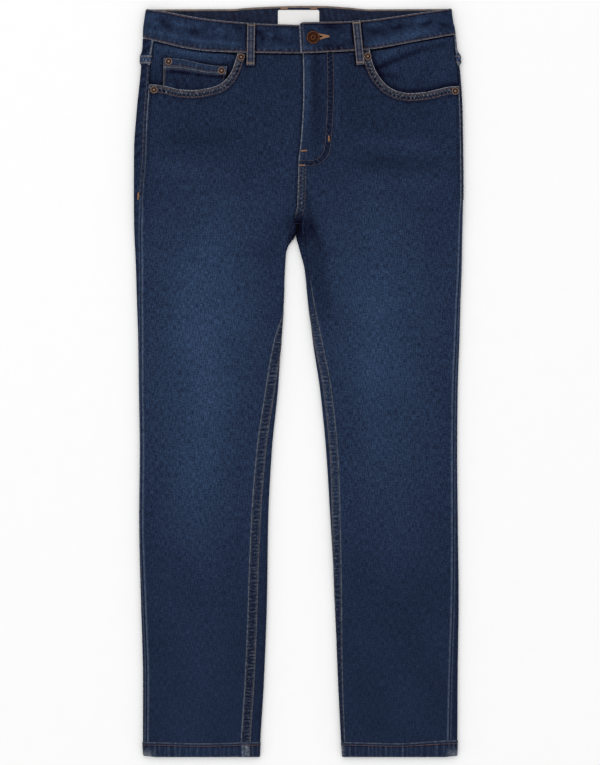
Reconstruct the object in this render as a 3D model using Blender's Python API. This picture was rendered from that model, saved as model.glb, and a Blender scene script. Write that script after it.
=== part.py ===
"""Straight leg jeans, laid flat on their back with the front panels facing up.

Run with: blender --background --python part.py

The frame is +Z up, +Y towards the waist and +X towards the wearer's left. The origin lies on the
surface that the jeans rest on, under the middle of their outline. Tables and sizes are millimetres
and are turned to metres where a mesh is made.

Every piece of cloth is a wall on one common form. At each height along the garment the form is a
flattened tube: a top face, a bottom face, and a round fold at each side. Left and right are the
wearer's.
"""

import math
from typing import NamedTuple

import bmesh
import bpy
from mathutils import Vector

MM = 0.001

# ---------------------------------------------------------------- driving sizes, millimetres
CLOTH = 1.2  # denim wall
GAP = 0.3  # between two pieces that meet
PANEL_HEIGHT = 6.2  # outside height of a leg lying flat
FOLD_RADIUS = PANEL_HEIGHT / 2
HALF_TURN = math.pi * FOLD_RADIUS
SEAT_LIFT = 1.4  # the seat lies on the back pockets and belt loops
CROTCH_Y = 210.0  # where the front rise ends and the inseams begin
COONS_Y = 340.0  # below the pockets, above this the rows of the front panels bend
HEM_TOP_Y = -483.0
HEM_WALL = 2.4  # turned up twice
HEM_RAISED = 0.5
FLY_LAP = 8.0  # how far the right front reaches under the left one
FLY_END_Y = 286.0
FLY_RAISED = CLOTH + GAP
FLY_WIDTH = 40.5  # from the fly's edge to its outer row of stitches
FLY_CORNER = 28.0  # radius of the J's turn
RISE_BAND = 11.5  # felled front rise
INSEAM_BAND = 10.0
INSEAM_BAND_START_Y = 150.0
OUTSEAM_BAND = 7.0
OUTSEAM_BAND_END_Y = 245.0
SEAM_RAISED = 0.5
YOKE_BAND = 12.0
YOKE_SIDE_Y = 434.5
YOKE_CENTRE_Y = 404.0
SCOOP_BAND = 11.0

BAND_WALL = 2.2
BAND_TOP_Z = 8.4
BAND_RADIUS = (BAND_TOP_Z - SEAT_LIFT) / 2
UNDERLAP_END_X = 28.0
UNDERLAP_TOP_Z = 7.4
OVERLAP_TOP_Z = UNDERLAP_TOP_Z + GAP + BAND_WALL

FACING_WALL = 1.0
RIGHT_FACING_DEPTH = 2.8
LEFT_FACING_DEPTH = 1.7
FACING_BELOW_SCOOP = 24.0
FACING_TUCK = 2.5  # up under the waistband
COIN_POCKET_DEPTH = RIGHT_FACING_DEPTH - GAP - FACING_WALL
BACK_PATCH_WALL = SEAT_LIFT - GAP

RIVET_RADIUS = 4.8
BUTTON_RADIUS = 8.8
SHANK_RADIUS = 2.0
LABEL_WIDTH = 55.0
LABEL_TOP_Y = 494.8
LABEL_BOTTOM_Y = 466.0
LABEL_WALL = 1.0
LOOP_WIDTH = 11.0
LOOP_WALL = 1.6
BACK_LOOP_X = 118.0
BACK_LOOP_BOTTOM_Y = 420.0

RIGHT = -1  # the wearer's right lies at -X
LEFT = 1


# ---------------------------------------------------------------- tables
class Outside(NamedTuple):
    """Outer folds of the garment and the outseams on them.

    A seam's roll is its distance along the cloth from the top of the fold, negative on the top face.
    """

    y: float
    right_edge: float
    left_edge: float
    right_roll: float
    left_roll: float


OUTSIDE = (
    Outside(-500, -206.6, 211.0, -1.4, -8.2),
    Outside(-482, -207.4, 211.5, -1.6, -8.0),
    Outside(-398, -207.3, 211.9, -2.1, -6.7),
    Outside(-291, -210.1, 213.2, -1.2, -4.7),
    Outside(-185, -212.4, 212.1, 0.1, -2.9),
    Outside(-91, -211.6, 211.3, 0.1, -2.1),
    Outside(-11, -212.8, 212.0, -0.1, -1.9),
    Outside(55, -213.7, 214.3, -0.9, -1.5),
    Outside(109, -215.5, 215.8, -2.4, -0.7),
    Outside(150, -216.7, 217.3, -3.8, 0.1),
    Outside(210, -219.2, 218.4, -5.9, 0.7),
    Outside(255, -219.5, 219.1, -8.4, 0.9),
    Outside(309, -219.1, 218.7, -11.9, 0.8),
    Outside(362, -215.5, 217.9, -10.5, 0.5),
    Outside(415, -210.1, 214.4, -9.4, 0.7),
    Outside(420, -209.8, 213.9, -9.3, 0.1),
    Outside(424, -211.0, 216.0, -11.1, -2.5),
    Outside(434, -210.8, 215.6, -12.0, -3.6),
    Outside(440, -208.7, 211.7, -10.9, -0.6),
    Outside(456, -207.6, 209.9, -11.9, 0.1),
    Outside(468, -207.4, 208.7, -11.9, 0.1),
    Outside(480, -206.1, 205.7, -11.9, 0.1),
    Outside(500, -202.7, 203.8, -11.9, 0.1),
)


class Inside(NamedTuple):
    """Inner folds of the legs and the inseams on them, below the crotch."""

    y: float
    right_edge: float
    left_edge: float
    right_roll: float
    left_roll: float


INSIDE = (
    Inside(-500, -51.9, 58.3, -20.9, 0.1),
    Inside(-482, -51.1, 57.1, -21.3, -0.2),
    Inside(-398, -46.1, 52.9, -20.9, -1.3),
    Inside(-291, -42.1, 48.5, -20.6, -4.5),
    Inside(-185, -40.4, 42.4, -18.2, -8.8),
    Inside(-91, -35.5, 36.5, -15.8, -11.3),
    Inside(-11, -27.5, 28.5, -12.2, -10.9),
    Inside(55, -23.2, 18.7, -4.8, -8.0),
    Inside(86, -20.9, 15.2, 3.1, -5.2),
    Inside(109, -19.5, 12.5, 7.2, -3.3),
    Inside(150, -18.1, 8.3, 8.6, -1.2),
    Inside(168, -17.0, 3.6, 7.0, -4.2),
    Inside(178, -15.2, 0.7, 3.5, -5.8),
    Inside(195, -4.3, -3.6, -4.8, -9.3),
    Inside(202, -2.6, -2.0, -4.3, -6.6),
    Inside(210, -0.5, -0.1, -3.7, -4.0),
)


class FrontEdge(NamedTuple):
    """The visible edge of the left front: the fly, and below it the front rise seam."""

    y: float
    x: float


FRONT_EDGE = (
    FrontEdge(210, -6.7),
    FrontEdge(226, -4.0),
    FrontEdge(233, -2.1),
    FrontEdge(258, -1.3),
    FrontEdge(286, -0.4),
    FrontEdge(298, 0.2),
    FrontEdge(322, 2.9),
    FrontEdge(375, 5.9),
    FrontEdge(405, 6.1),
    FrontEdge(437, 5.3),
)


class Edge(NamedTuple):
    """A point on an edge that runs across the garment."""

    x: float
    y: float


FRONT_WAIST_SEAM = (
    Edge(-208.0, 457.1),
    Edge(-176.8, 449.7),
    Edge(-146.1, 442.8),
    Edge(-115.5, 439.1),
    Edge(-70.1, 437.5),
    Edge(3.2, 436.5),
    Edge(39.2, 438.0),
    Edge(93.9, 442.0),
    Edge(155.2, 452.7),
    Edge(210.0, 462.5),
)
RIGHT_BAND_TOP = (
    Edge(-203.0, 495.3),
    Edge(-136.8, 486.7),
    Edge(-91.5, 478.7),
    Edge(-68.8, 476.0),
    Edge(-27.5, 474.8),
    Edge(30.0, 473.6),
)
LEFT_BAND_TOP = (
    Edge(0.0, 477.3),
    Edge(71.2, 478.9),
    Edge(95.2, 480.3),
    Edge(113.9, 483.8),
    Edge(159.2, 490.9),
    Edge(204.0, 496.0),
)
BACK_BAND_TOP = (
    Edge(-203.0, 495.3),
    Edge(-91.5, 495.7),
    Edge(-66.1, 497.6),
    Edge(-23.5, 499.5),
    Edge(0.0, 500.0),
    Edge(24.5, 500.0),
    Edge(64.5, 498.0),
    Edge(95.2, 495.4),
    Edge(204.0, 496.0),
)
BACK_WAIST_SEAM = (
    Edge(-208.0, 457.1),
    Edge(0.0, 461.0),
    Edge(210.0, 462.5),
)
OVERLAP_EDGE = (FrontEdge(436.5, 2.7), FrontEdge(477.3, 0.4))
RIGHT_SCOOP = (
    Edge(-197.5, 395.3),
    Edge(-187.5, 394.7),
    Edge(-172.3, 392.0),
    Edge(-158.5, 388.7),
    Edge(-140.1, 387.7),
    Edge(-122.1, 390.0),
    Edge(-106.5, 394.7),
    Edge(-95.7, 403.1),
    Edge(-88.1, 415.3),
    Edge(-83.5, 429.1),
    Edge(-80.8, 437.8),
)
LEFT_SCOOP = (
    Edge(212.0, 393.1),
    Edge(200.5, 392.2),
    Edge(185.9, 389.0),
    Edge(167.2, 384.9),
    Edge(147.2, 383.6),
    Edge(132.0, 386.3),
    Edge(119.7, 392.4),
    Edge(109.1, 403.3),
    Edge(101.3, 416.7),
    Edge(96.8, 430.0),
    Edge(94.5, 442.1),
)


class Fold(NamedTuple):
    """A soft trough in the top face, from one point to another."""

    x_start: float
    y_start: float
    x_end: float
    y_end: float
    width: float
    depth: float


FOLDS = (
    Fold(14, 205, 42, 70, 13, 1.5),
    Fold(-12, 232, -46, 150, 14, 0.9),
    Fold(30, 268, 110, 236, 13, 0.7),
    Fold(24, 240, 92, 196, 12, 0.6),
    Fold(-34, 262, -112, 238, 14, 0.6),
    Fold(-60, 330, -150, 318, 15, 0.5),
    Fold(66, 338, 158, 322, 14, 0.5),
    Fold(-158, 262, -205, 300, 13, 0.6),
    Fold(160, 266, 205, 306, 13, 0.6),
    Fold(-70, 120, -150, 92, 17, 0.6),
    Fold(64, 60, 150, 84, 17, 0.7),
    Fold(-58, -40, -140, -74, 18, 0.8),
    Fold(62, -62, 146, -30, 17, 0.7),
    Fold(-60, -120, -128, -132, 16, 0.6),
    Fold(70, -150, 150, -128, 18, 0.6),
    Fold(-70, -300, -160, -322, 18, 0.5),
    Fold(76, -350, 168, -330, 18, 0.5),
)


class Loop(NamedTuple):
    """A front belt loop: where its middle lies at the top and at the bottom."""

    name: str
    top_x: float
    top_y: float
    bottom_x: float
    bottom_y: float


FRONT_LOOPS = (
    Loop("belt_loop_front_right", -63.0, 476.8, -64.0, 420.5),
    Loop("belt_loop_front_left", 76.6, 480.0, 82.4, 421.5),
)


class Place(NamedTuple):
    """Where a rivet sits, and how far its cloth lies below the top face."""

    x: float
    y: float
    depth: float


RIVETS = (
    Place(-76.5, 431.6, 0.0),
    Place(-192.3, 387.9, 0.0),
    Place(91.9, 432.6, 0.0),
    Place(208.4, 386.3, 0.0),
    Place(-173.0, 426.0, COIN_POCKET_DEPTH),
    Place(-102.6, 413.8, COIN_POCKET_DEPTH),
)
BUTTON = Edge(19.3, 457.4)
BUTTONHOLE_TIP = Edge(38.5, 458.6)

# Rows of the panels: closer where the outline turns, at the crotch, and at the hems.
LEG_ROWS = (
    *(-500, -485, -482, -440, -395, -350, -305, -260, -215, -170, -125, -85, -45),
    *(-8, 26, 56, 82, 104, 126, 146, 162, 173, 184, 195, 203, CROTCH_Y - GAP),
)
SEAT_ROWS = (CROTCH_Y + GAP, 219, 230, 244, 262, 284, 289, 295, 303, 314, COONS_Y)
FRONT_COLUMNS = 15
SCOOP_COLUMN = 8  # the column that runs up to the pocket's upper corner
FLY_COLUMNS_START_Y = 90.0
OUTER_COLUMNS = 8
FLAT_COLUMNS = 3
INNER_COLUMNS = 9
FINE_STEP = 2.1
STRIP_STEP = 4.5
FACE_STEP = 14.0


# ---------------------------------------------------------------- curves
class Curve:
    """A smooth curve through a table's rows that never swings past them."""

    def __init__(self, places, values):
        order = sorted(range(len(places)), key=lambda i: places[i])
        self.places = [places[i] for i in order]
        self.values = [values[i] for i in order]
        steps = [b - a for a, b in zip(self.places, self.places[1:])]
        rates = [
            (b - a) / step for a, b, step in zip(self.values, self.values[1:], steps)
        ]
        self.slopes = [rates[0], *(0.0 for _ in rates[1:]), rates[-1]]
        for i in range(1, len(rates)):
            before, after = rates[i - 1], rates[i]
            if before * after > 0:
                self.slopes[i] = 2 * before * after / (before + after)

    def __call__(self, place):
        last = len(self.places) - 2
        i = 0
        while i < last and place > self.places[i + 1]:
            i += 1
        step = self.places[i + 1] - self.places[i]
        t = min(1.0, max(0.0, (place - self.places[i]) / step))
        a, b = self.values[i], self.values[i + 1]
        ease = t * t * (3 - 2 * t)
        start = t * (1 - t) ** 2 * step * self.slopes[i]
        end = t * t * (t - 1) * step * self.slopes[i + 1]
        return a + (b - a) * ease + start + end


def column(table, place, value):
    """A curve of one column of a table against another."""
    return Curve([getattr(row, place) for row in table], [getattr(row, value) for row in table])


outer_edge = {
    RIGHT: column(OUTSIDE, "y", "right_edge"),
    LEFT: column(OUTSIDE, "y", "left_edge"),
}
outer_roll = {
    RIGHT: column(OUTSIDE, "y", "right_roll"),
    LEFT: column(OUTSIDE, "y", "left_roll"),
}
inner_edge = {
    RIGHT: column(INSIDE, "y", "right_edge"),
    LEFT: column(INSIDE, "y", "left_edge"),
}
inner_roll = {
    RIGHT: column(INSIDE, "y", "right_roll"),
    LEFT: column(INSIDE, "y", "left_roll"),
}
front_edge = column(FRONT_EDGE, "y", "x")
overlap_edge = column(OVERLAP_EDGE, "y", "x")
front_waist = column(FRONT_WAIST_SEAM, "x", "y")
back_waist = column(BACK_WAIST_SEAM, "x", "y")
back_top = column(BACK_BAND_TOP, "x", "y")
front_top = {
    RIGHT: column(RIGHT_BAND_TOP, "x", "y"),
    LEFT: column(LEFT_BAND_TOP, "x", "y"),
}
scoop = {RIGHT: RIGHT_SCOOP, LEFT: LEFT_SCOOP}


def mix(a, b, t):
    return a + (b - a) * t


def ramp(low, high, value):
    """0 at low, 1 at high, smooth between; low may be above high."""
    t = min(1.0, max(0.0, (value - low) / (high - low)))
    return t * t * (3 - 2 * t)


def spaced(start, end, folds, coarse, count):
    """count + 1 places from start to end, close together where they cross a fold."""
    bounds = [bound for fold in folds for bound in fold]
    cuts = sorted({start, end, *(c for c in bounds if (c - start) * (c - end) < 0)})
    if end < start:
        cuts.reverse()
    weights = []
    for a, b in zip(cuts, cuts[1:]):
        fine = any(min(fold) <= (a + b) / 2 <= max(fold) for fold in folds)
        weights.append(abs(b - a) / (FINE_STEP if fine else coarse))
    total = sum(weights)
    places = []
    for i in range(count + 1):
        wanted = total * i / count
        j = 0
        while j < len(weights) - 1 and wanted > weights[j]:
            wanted -= weights[j]
            j += 1
        places.append(mix(cuts[j], cuts[j + 1], min(1.0, wanted / weights[j])))
    return places


# ---------------------------------------------------------------- the common form
def lift(y):
    """How far the underside is held up at this height along the garment."""
    return SEAT_LIFT * ramp(188, 226, y)


def fold_depth(x, y):
    """Depth of the soft troughs at a point of the top face."""
    depth = 0.0
    for fold in FOLDS:
        along = Vector((fold.x_end - fold.x_start, fold.y_end - fold.y_start))
        away = Vector((x - fold.x_start, y - fold.y_start))
        t = away.dot(along) / along.length_squared
        side = abs(along.x * away.y - along.y * away.x) / along.length
        taper = ramp(-0.15, 0.25, t) * ramp(1.15, 0.7, t)
        depth += fold.depth * taper * math.exp(-((side / fold.width) ** 2))
    return depth


def edge_fade(x, y, side):
    """0 at the folds of the form, so that the troughs die out there, and 1 inside."""
    outside = ramp(0, 12, side * (outer_edge[side](y) - x) - FOLD_RADIUS)
    if y > CROTCH_Y + 10:
        return outside
    inside = ramp(0, 12, side * (x - inner_edge[side](y)) - FOLD_RADIUS)
    return outside * mix(inside, 1.0, ramp(CROTCH_Y - 15, CROTCH_Y + 10, y))


def top_z(x, y):
    """Height of the top face."""
    side = LEFT if x > inner_edge[LEFT](y) else RIGHT
    return lift(y) + PANEL_HEIGHT - fold_depth(x, y) * edge_fade(x, y, side)


class Skin(NamedTuple):
    """A point of the form and the direction out of the cloth there."""

    point: Vector
    out: Vector

    def moved(self, distance):
        return self.point + self.out * distance


def rolled(edge, side, roll, y):
    """The form's point at a distance along the cloth from the top of a fold that faces side."""
    tangent = edge - side * FOLD_RADIUS
    floor = lift(y)
    if roll <= 0:
        x = tangent + side * roll
        return Skin(Vector((x, y, top_z(x, y))), Vector((0, 0, 1)))
    if roll >= HALF_TURN:
        return Skin(
            Vector((tangent - side * (roll - HALF_TURN), y, floor)), Vector((0, 0, -1))
        )
    angle = roll / FOLD_RADIUS
    out = Vector((side * math.sin(angle), 0, math.cos(angle)))
    return Skin(Vector((tangent, y, floor + FOLD_RADIUS)) + out * FOLD_RADIUS, out)


def spread_x(side, y):
    """Where the outer and inner folds of one side begin, as places on the spread-out top face."""
    outer = outer_edge[side](y) - side * FOLD_RADIUS
    inner = inner_edge[side](y) + side * FOLD_RADIUS
    return outer, inner


def on_top(x, y, side):
    """The form's point at a place on the top face, spread out flat past its folds."""
    outer, inner = spread_x(side, y)
    if side * (x - outer) > 0:
        return rolled(outer_edge[side](y), side, side * (x - outer), y)
    if y < CROTCH_Y and side * (inner - x) > 0:
        return rolled(inner_edge[side](y), -side, side * (inner - x), y)
    return Skin(Vector((x, y, top_z(x, y))), Vector((0, 0, 1)))


def scoop_distance(x, y, side):
    """Distance from a point to the edge of the pocket opening."""
    nearest = 1e9
    for a, b in zip(scoop[side], scoop[side][1:]):
        start, end, point = Vector(a), Vector(b), Vector((x, y))
        t = (point - start).dot(end - start) / (end - start).length_squared
        nearest = min(nearest, (start.lerp(end, min(1.0, max(0.0, t))) - point).length)
    return nearest


def fly_inside(x, y):
    """How far a point lies inside the fly's outer row of stitches, negative outside it."""
    across = front_edge(y) + FLY_WIDTH - x
    up = y - FLY_END_Y
    if across < FLY_CORNER and up < FLY_CORNER:
        return FLY_CORNER - math.hypot(FLY_CORNER - across, FLY_CORNER - up)
    return min(across, up)


def front_relief(x, y, side):
    """How far the cloth of a front panel stands proud of the form: bands, fly and hem."""
    raised = HEM_RAISED * ramp(HEM_TOP_Y + 2, HEM_TOP_Y - 1, y)
    raised += SEAM_RAISED * ramp(SCOOP_BAND + 2.5, SCOOP_BAND - 1, scoop_distance(x, y, side))
    if side == LEFT and y > CROTCH_Y:
        rise = ramp(RISE_BAND + 3, RISE_BAND, x - front_edge(y)) * ramp(290, 284, y)
        raised += max(SEAM_RAISED * rise, FLY_RAISED * ramp(-2, 2, fly_inside(x, y)))
    return raised


# ---------------------------------------------------------------- meshes
materials = {}


def material(name, color, roughness, metallic=0.0):
    """A Principled material, made once for each name."""
    if name not in materials:
        made = bpy.data.materials.new(name)
        made.use_nodes = True
        shader = made.node_tree.nodes["Principled BSDF"]
        shader.inputs["Base Color"].default_value = (*color, 1.0)
        shader.inputs["Roughness"].default_value = roughness
        shader.inputs["Metallic"].default_value = metallic
        made.diffuse_color = (*color, 1.0)
        materials[name] = made
    return materials[name]


def denim():
    return material("denim", (0.018, 0.040, 0.110), 0.85)


def dark_denim():
    return material("denim_band", (0.013, 0.030, 0.085), 0.85)


def copper():
    return material("copper", (0.45, 0.20, 0.10), 0.38, 1.0)


def white_tape():
    return material("label_tape", (0.86, 0.85, 0.82), 0.8)


def add_solid(name, points, faces, finish, smooth=True):
    """One named object from points in millimetres, closed and facing outwards."""
    mesh = bpy.data.meshes.new(name)
    mesh.from_pydata([Vector(p) * MM for p in points], [], faces)
    bm = bmesh.new()
    bm.from_mesh(mesh)
    loose = [v for v in bm.verts if not v.link_faces]
    bmesh.ops.delete(bm, geom=loose, context="VERTS")
    bmesh.ops.recalc_face_normals(bm, faces=bm.faces)
    if bm.calc_volume(signed=True) < 0:
        bmesh.ops.reverse_faces(bm, faces=bm.faces)
    bm.to_mesh(mesh)
    bm.free()
    mesh.materials.append(finish)
    if smooth:
        mesh.shade_smooth()
        mesh.set_sharp_from_angle(angle=math.radians(35))
    made = bpy.data.objects.new(name, mesh)
    bpy.context.scene.collection.objects.link(made)
    return made


def add_wall(name, outer, inner, finish, keep=lambda row, col: True):
    """A wall between two grids of points, with its open edges closed by a rim."""
    rows, cols = len(outer), len(outer[0])
    points = [p for grid in (outer, inner) for row in grid for p in row]
    under = rows * cols
    faces = []
    uses = {}
    for i in range(rows - 1):
        for j in range(cols - 1):
            if not keep(i, j):
                continue
            a = i * cols + j
            ring = (a, a + 1, a + cols + 1, a + cols)
            faces.append(ring)
            faces.append(tuple(under + k for k in reversed(ring)))
            for edge in zip(ring, (*ring[1:], ring[0])):
                uses[edge] = uses.get(edge, 0) + 1
    for a, b in uses:
        if (b, a) not in uses:
            faces.append((b, a, under + a, under + b))
    return add_solid(name, points, faces, finish)


def add_turned(name, profile, place, finish, sides=20):
    """A solid turned about an upright axis from a profile of (radius, height), bottom to top."""
    points = []
    for radius, height in profile:
        for k in range(sides):
            angle = 2 * math.pi * k / sides
            points.append(
                (place.x + radius * math.cos(angle), place.y + radius * math.sin(angle), height)
            )
    faces = []
    for i in range(len(profile) - 1):
        for k in range(sides):
            a, b = i * sides + k, i * sides + (k + 1) % sides
            faces.append((a, b, b + sides, a + sides))
    faces.append(tuple(reversed(range(sides))))
    faces.append(tuple(range(len(points) - sides, len(points))))
    return add_solid(name, points, faces, finish)


def add_plate(name, outline, bottom_z, top_z_value, finish):
    """A flat plate from an outline of (x, y) points."""
    count = len(outline)
    points = [(x, y, bottom_z) for x, y in outline] + [(x, y, top_z_value) for x, y in outline]
    faces = [tuple(reversed(range(count))), tuple(range(count, 2 * count))]
    for k in range(count):
        after = (k + 1) % count
        faces.append((k, after, after + count, k + count))
    return add_solid(name, points, faces, finish, smooth=False)


# ---------------------------------------------------------------- front panels
def front_bounds(side, y):
    """Spread-out places of a front panel's outseam edge and its inner edge."""
    outer, inner = spread_x(side, y)
    seam = outer + side * outer_roll[side](y) - side * GAP / 2
    if y > CROTCH_Y:
        if side == LEFT:
            return seam, front_edge(y) + GAP / 2
        lap = (FLY_LAP + GAP) * ramp(FLY_END_Y + 3, FLY_END_Y + 20, y)
        return seam, front_edge(y) - GAP / 2 + lap
    return seam, inner - side * (inner_roll[side](y) - GAP / 2)


def fly_columns(y):
    """Distances of the four columns along the rise and the fly from the left front's edge."""
    up = min(max(y - FLY_END_Y, 0.0), FLY_CORNER)
    turn = FLY_WIDTH - FLY_CORNER + math.sqrt(FLY_CORNER**2 - (FLY_CORNER - up) ** 2)
    turn = max(turn, RISE_BAND + 7.5)
    return RISE_BAND - 0.5, RISE_BAND + 3.5, turn - 2, turn + 2


def front_places(side, y):
    """Spread-out places of the columns across one row of a front panel, outseam first."""
    seam, middle = front_bounds(side, y)
    outer, inner = spread_x(side, y)
    folds = [(outer, outer + side * HALF_TURN), (inner, inner - side * HALF_TURN)]
    if y > CROTCH_Y:
        folds.pop()
    even = spaced(seam, middle, folds, FACE_STEP, FRONT_COLUMNS - 1)
    if side == RIGHT or y < FLY_COLUMNS_START_Y:
        return even
    near = []
    for number, offset in enumerate(fly_columns(y), start=1):
        near.append(max(front_edge(y) + offset, middle + number))
    near.reverse()
    far = spaced(seam, near[0], folds, FACE_STEP, FRONT_COLUMNS - 1 - len(near))
    places = [*far, *near[1:], middle]
    blend = ramp(FLY_COLUMNS_START_Y, CROTCH_Y - 20, y)
    return [mix(a, b, blend) for a, b in zip(even, places)]


def scoop_boundary(side):
    """The top edge of a front panel: along the pocket opening, then along the waist seam."""
    curve_points = [Vector(p) for p in scoop[side]]
    seam, middle = front_bounds(side, curve_points[0].y)
    curve_points[0].x = seam
    along = [0.0]
    for a, b in zip(curve_points, curve_points[1:]):
        along.append(along[-1] + (b - a).length)
    xs = Curve(along, [p.x for p in curve_points])
    ys = Curve(along, [p.y for p in curve_points])
    points = []
    for j in range(SCOOP_COLUMN + 1):
        t = along[-1] * j / SCOOP_COLUMN
        points.append(Vector((xs(t), ys(t))))
    corner = points[-1]
    corner.y = front_waist(corner.x) - GAP / 2
    _, middle = front_bounds(side, front_waist(front_edge(437)))
    count = FRONT_COLUMNS - 1 - SCOOP_COLUMN
    offsets = [mix(abs(corner.x - middle), 0.0, k / count) for k in range(1, count + 1)]
    if side == LEFT:
        near = fly_columns(corner.y)
        offsets = [mix(abs(corner.x - middle), near[-1], 0.5), *reversed(near), 0.0]
    for offset in offsets:
        x = middle + side * offset
        points.append(Vector((x, front_waist(x) - GAP / 2)))
    return points


def inward(points):
    """The direction into the panel at each point of its top edge."""
    found = []
    for j, point in enumerate(points):
        if j in (0, len(points) - 1) or j > SCOOP_COLUMN:
            found.append(Vector((0, -1)))
            continue
        before = (point - points[j - 1]).normalized()
        after = (points[j + 1] - point).normalized()
        along = (before + after).normalized()
        normal = Vector((-along.y, along.x))
        found.append(normal if normal.y < 0 else -normal)
    return found


def bent_rows(side, base_y):
    """Rows of (place, y) from a straight row at base_y up to the panel's top edge."""
    top = scoop_boundary(side)
    into = inward(top)
    base = front_places(side, base_y)
    span = base[-1] - base[0]
    shares = [(x - base[0]) / span for x in base]
    insets = (SCOOP_BAND + 2.5, SCOOP_BAND - 1.0, 0.0)
    lowest = [p + n * insets[0] for p, n in zip(top, into)]
    side_low, middle_low = lowest[0].y, lowest[-1].y
    rows = []
    steps = 3
    for i in range(1, steps + 1):
        v = i / (steps + 1)
        row = []
        for s, x, end in zip(shares, base, lowest):
            edge_ys = mix(base_y, side_low, v), mix(base_y, middle_low, v)
            edges = [
                Vector((front_bounds(side, edge_ys[0])[0], edge_ys[0])),
                Vector((front_bounds(side, edge_ys[1])[1], edge_ys[1])),
            ]
            corners = mix(
                mix(Vector((base[0], base_y)), Vector((base[-1], base_y)), s),
                mix(lowest[0], lowest[-1], s),
                v,
            )
            row.append(mix(Vector((x, base_y)), end, v) + mix(edges[0], edges[1], s) - corners)
        rows.append(row)
    for inset in insets:
        rows.append([p + n * inset for p, n in zip(top, into)])
    for row in rows[steps:]:
        row[0].x = front_bounds(side, row[0].y)[0]
        row[-1].x = front_bounds(side, row[-1].y)[1]
    return rows


def inner_raise(x, y, side):
    """How far the inside of the left front is lifted over the right front's lap."""
    if side == RIGHT:
        return 0.0
    return FLY_RAISED * ramp(FLY_LAP + 6.5, FLY_LAP + 3.5, x - front_edge(y)) * ramp(272, 283, y)


def wall_depth(y):
    """Thickness of a panel's cloth, doubled at the turned-up hem."""
    return mix(HEM_WALL, CLOTH, ramp(HEM_TOP_Y - 2, HEM_TOP_Y + 1, y))


def add_front(name, side):
    rows = [[Vector((x, y)) for x in front_places(side, y)] for y in (*LEG_ROWS, *SEAT_ROWS)]
    rows += bent_rows(side, COONS_Y)
    outer, inner = [], []
    for row in rows:
        skins = [on_top(p.x, p.y, side) for p in row]
        outer.append([s.moved(front_relief(p.x, p.y, side)) for s, p in zip(skins, row)])
        inner.append(
            [s.moved(inner_raise(p.x, p.y, side) - wall_depth(p.y)) for s, p in zip(skins, row)]
        )
    return add_wall(name, outer, inner, denim())


# ---------------------------------------------------------------- back panels and yokes
def yoke_seam(share):
    """Height of the yoke seam, from the side seam at share 0 to the centre back at 1."""
    return mix(YOKE_SIDE_Y, YOKE_CENTRE_Y, ramp(-0.25, 1.25, share) - ramp(-0.25, 1.25, 0.0))


def back_relief(roll_from_seam, y, is_inseam):
    """How far the cloth of a back panel stands proud at a distance from its side seam."""
    if is_inseam:
        lower = ramp(INSEAM_BAND_START_Y + 20, INSEAM_BAND_START_Y, y)
        return SEAM_RAISED * lower * ramp(INSEAM_BAND + 2, INSEAM_BAND - 2, roll_from_seam)
    felled = ramp(OUTSEAM_BAND_END_Y - 6, OUTSEAM_BAND_END_Y, y)
    felled *= ramp(OUTSEAM_BAND + 2, OUTSEAM_BAND - 1, roll_from_seam)
    yoke = ramp(YOKE_BAND + 2.5, YOKE_BAND - 1, YOKE_SIDE_Y - y) * ramp(-1, 0, YOKE_SIDE_Y - y)
    return SEAM_RAISED * max(felled, yoke)


def outer_rolls(side, y):
    seam = outer_roll[side](y) + GAP / 2
    return spaced(seam, HALF_TURN, [(0.0, HALF_TURN)], STRIP_STEP, OUTER_COLUMNS)


def back_row(side, y, has_inside, row_ys=None):
    """Outer points and inner points of one row across a back panel, outseam first."""
    ys = row_ys or (lambda share: y)
    outer, inner = [], []

    def put(skin, raised):
        on_underside = skin.out.z < -0.5
        hem = HEM_RAISED * ramp(HEM_TOP_Y + 2, HEM_TOP_Y - 1, skin.point.y)
        outer.append(skin.moved(0.0 if on_underside else (raised + hem) * ramp(-0.5, 0.1, skin.out.z)))
        inner.append(skin.moved(-wall_depth(skin.point.y)))

    seam = outer_roll[side](y) + GAP / 2
    for roll in outer_rolls(side, y):
        at = ys(0.0)
        skin = rolled(outer_edge[side](at), side, roll, at)
        put(skin, back_relief(roll - seam, at, False))
    start = rolled(outer_edge[side](y), side, HALF_TURN, y).point.x
    end = inner_edge[side](y) + side * FOLD_RADIUS if has_inside else side * GAP / 2
    for k in range(1, FLAT_COLUMNS + 2):
        share = k / (FLAT_COLUMNS + 1)
        at = ys(share)
        put(Skin(Vector((mix(start, end, share), at, lift(at))), Vector((0, 0, -1))), 0.0)
    if has_inside:
        seam = inner_roll[side](y) + GAP / 2
        rolls = spaced(HALF_TURN, seam, [(0.0, HALF_TURN)], STRIP_STEP, INNER_COLUMNS)
        for roll in rolls[1:]:
            skin = rolled(inner_edge[side](y), -side, roll, y)
            put(skin, back_relief(roll - seam, y, True))
    else:
        outer += [outer[-1]] * INNER_COLUMNS
        inner += [inner[-1]] * INNER_COLUMNS
    return outer, inner


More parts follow.
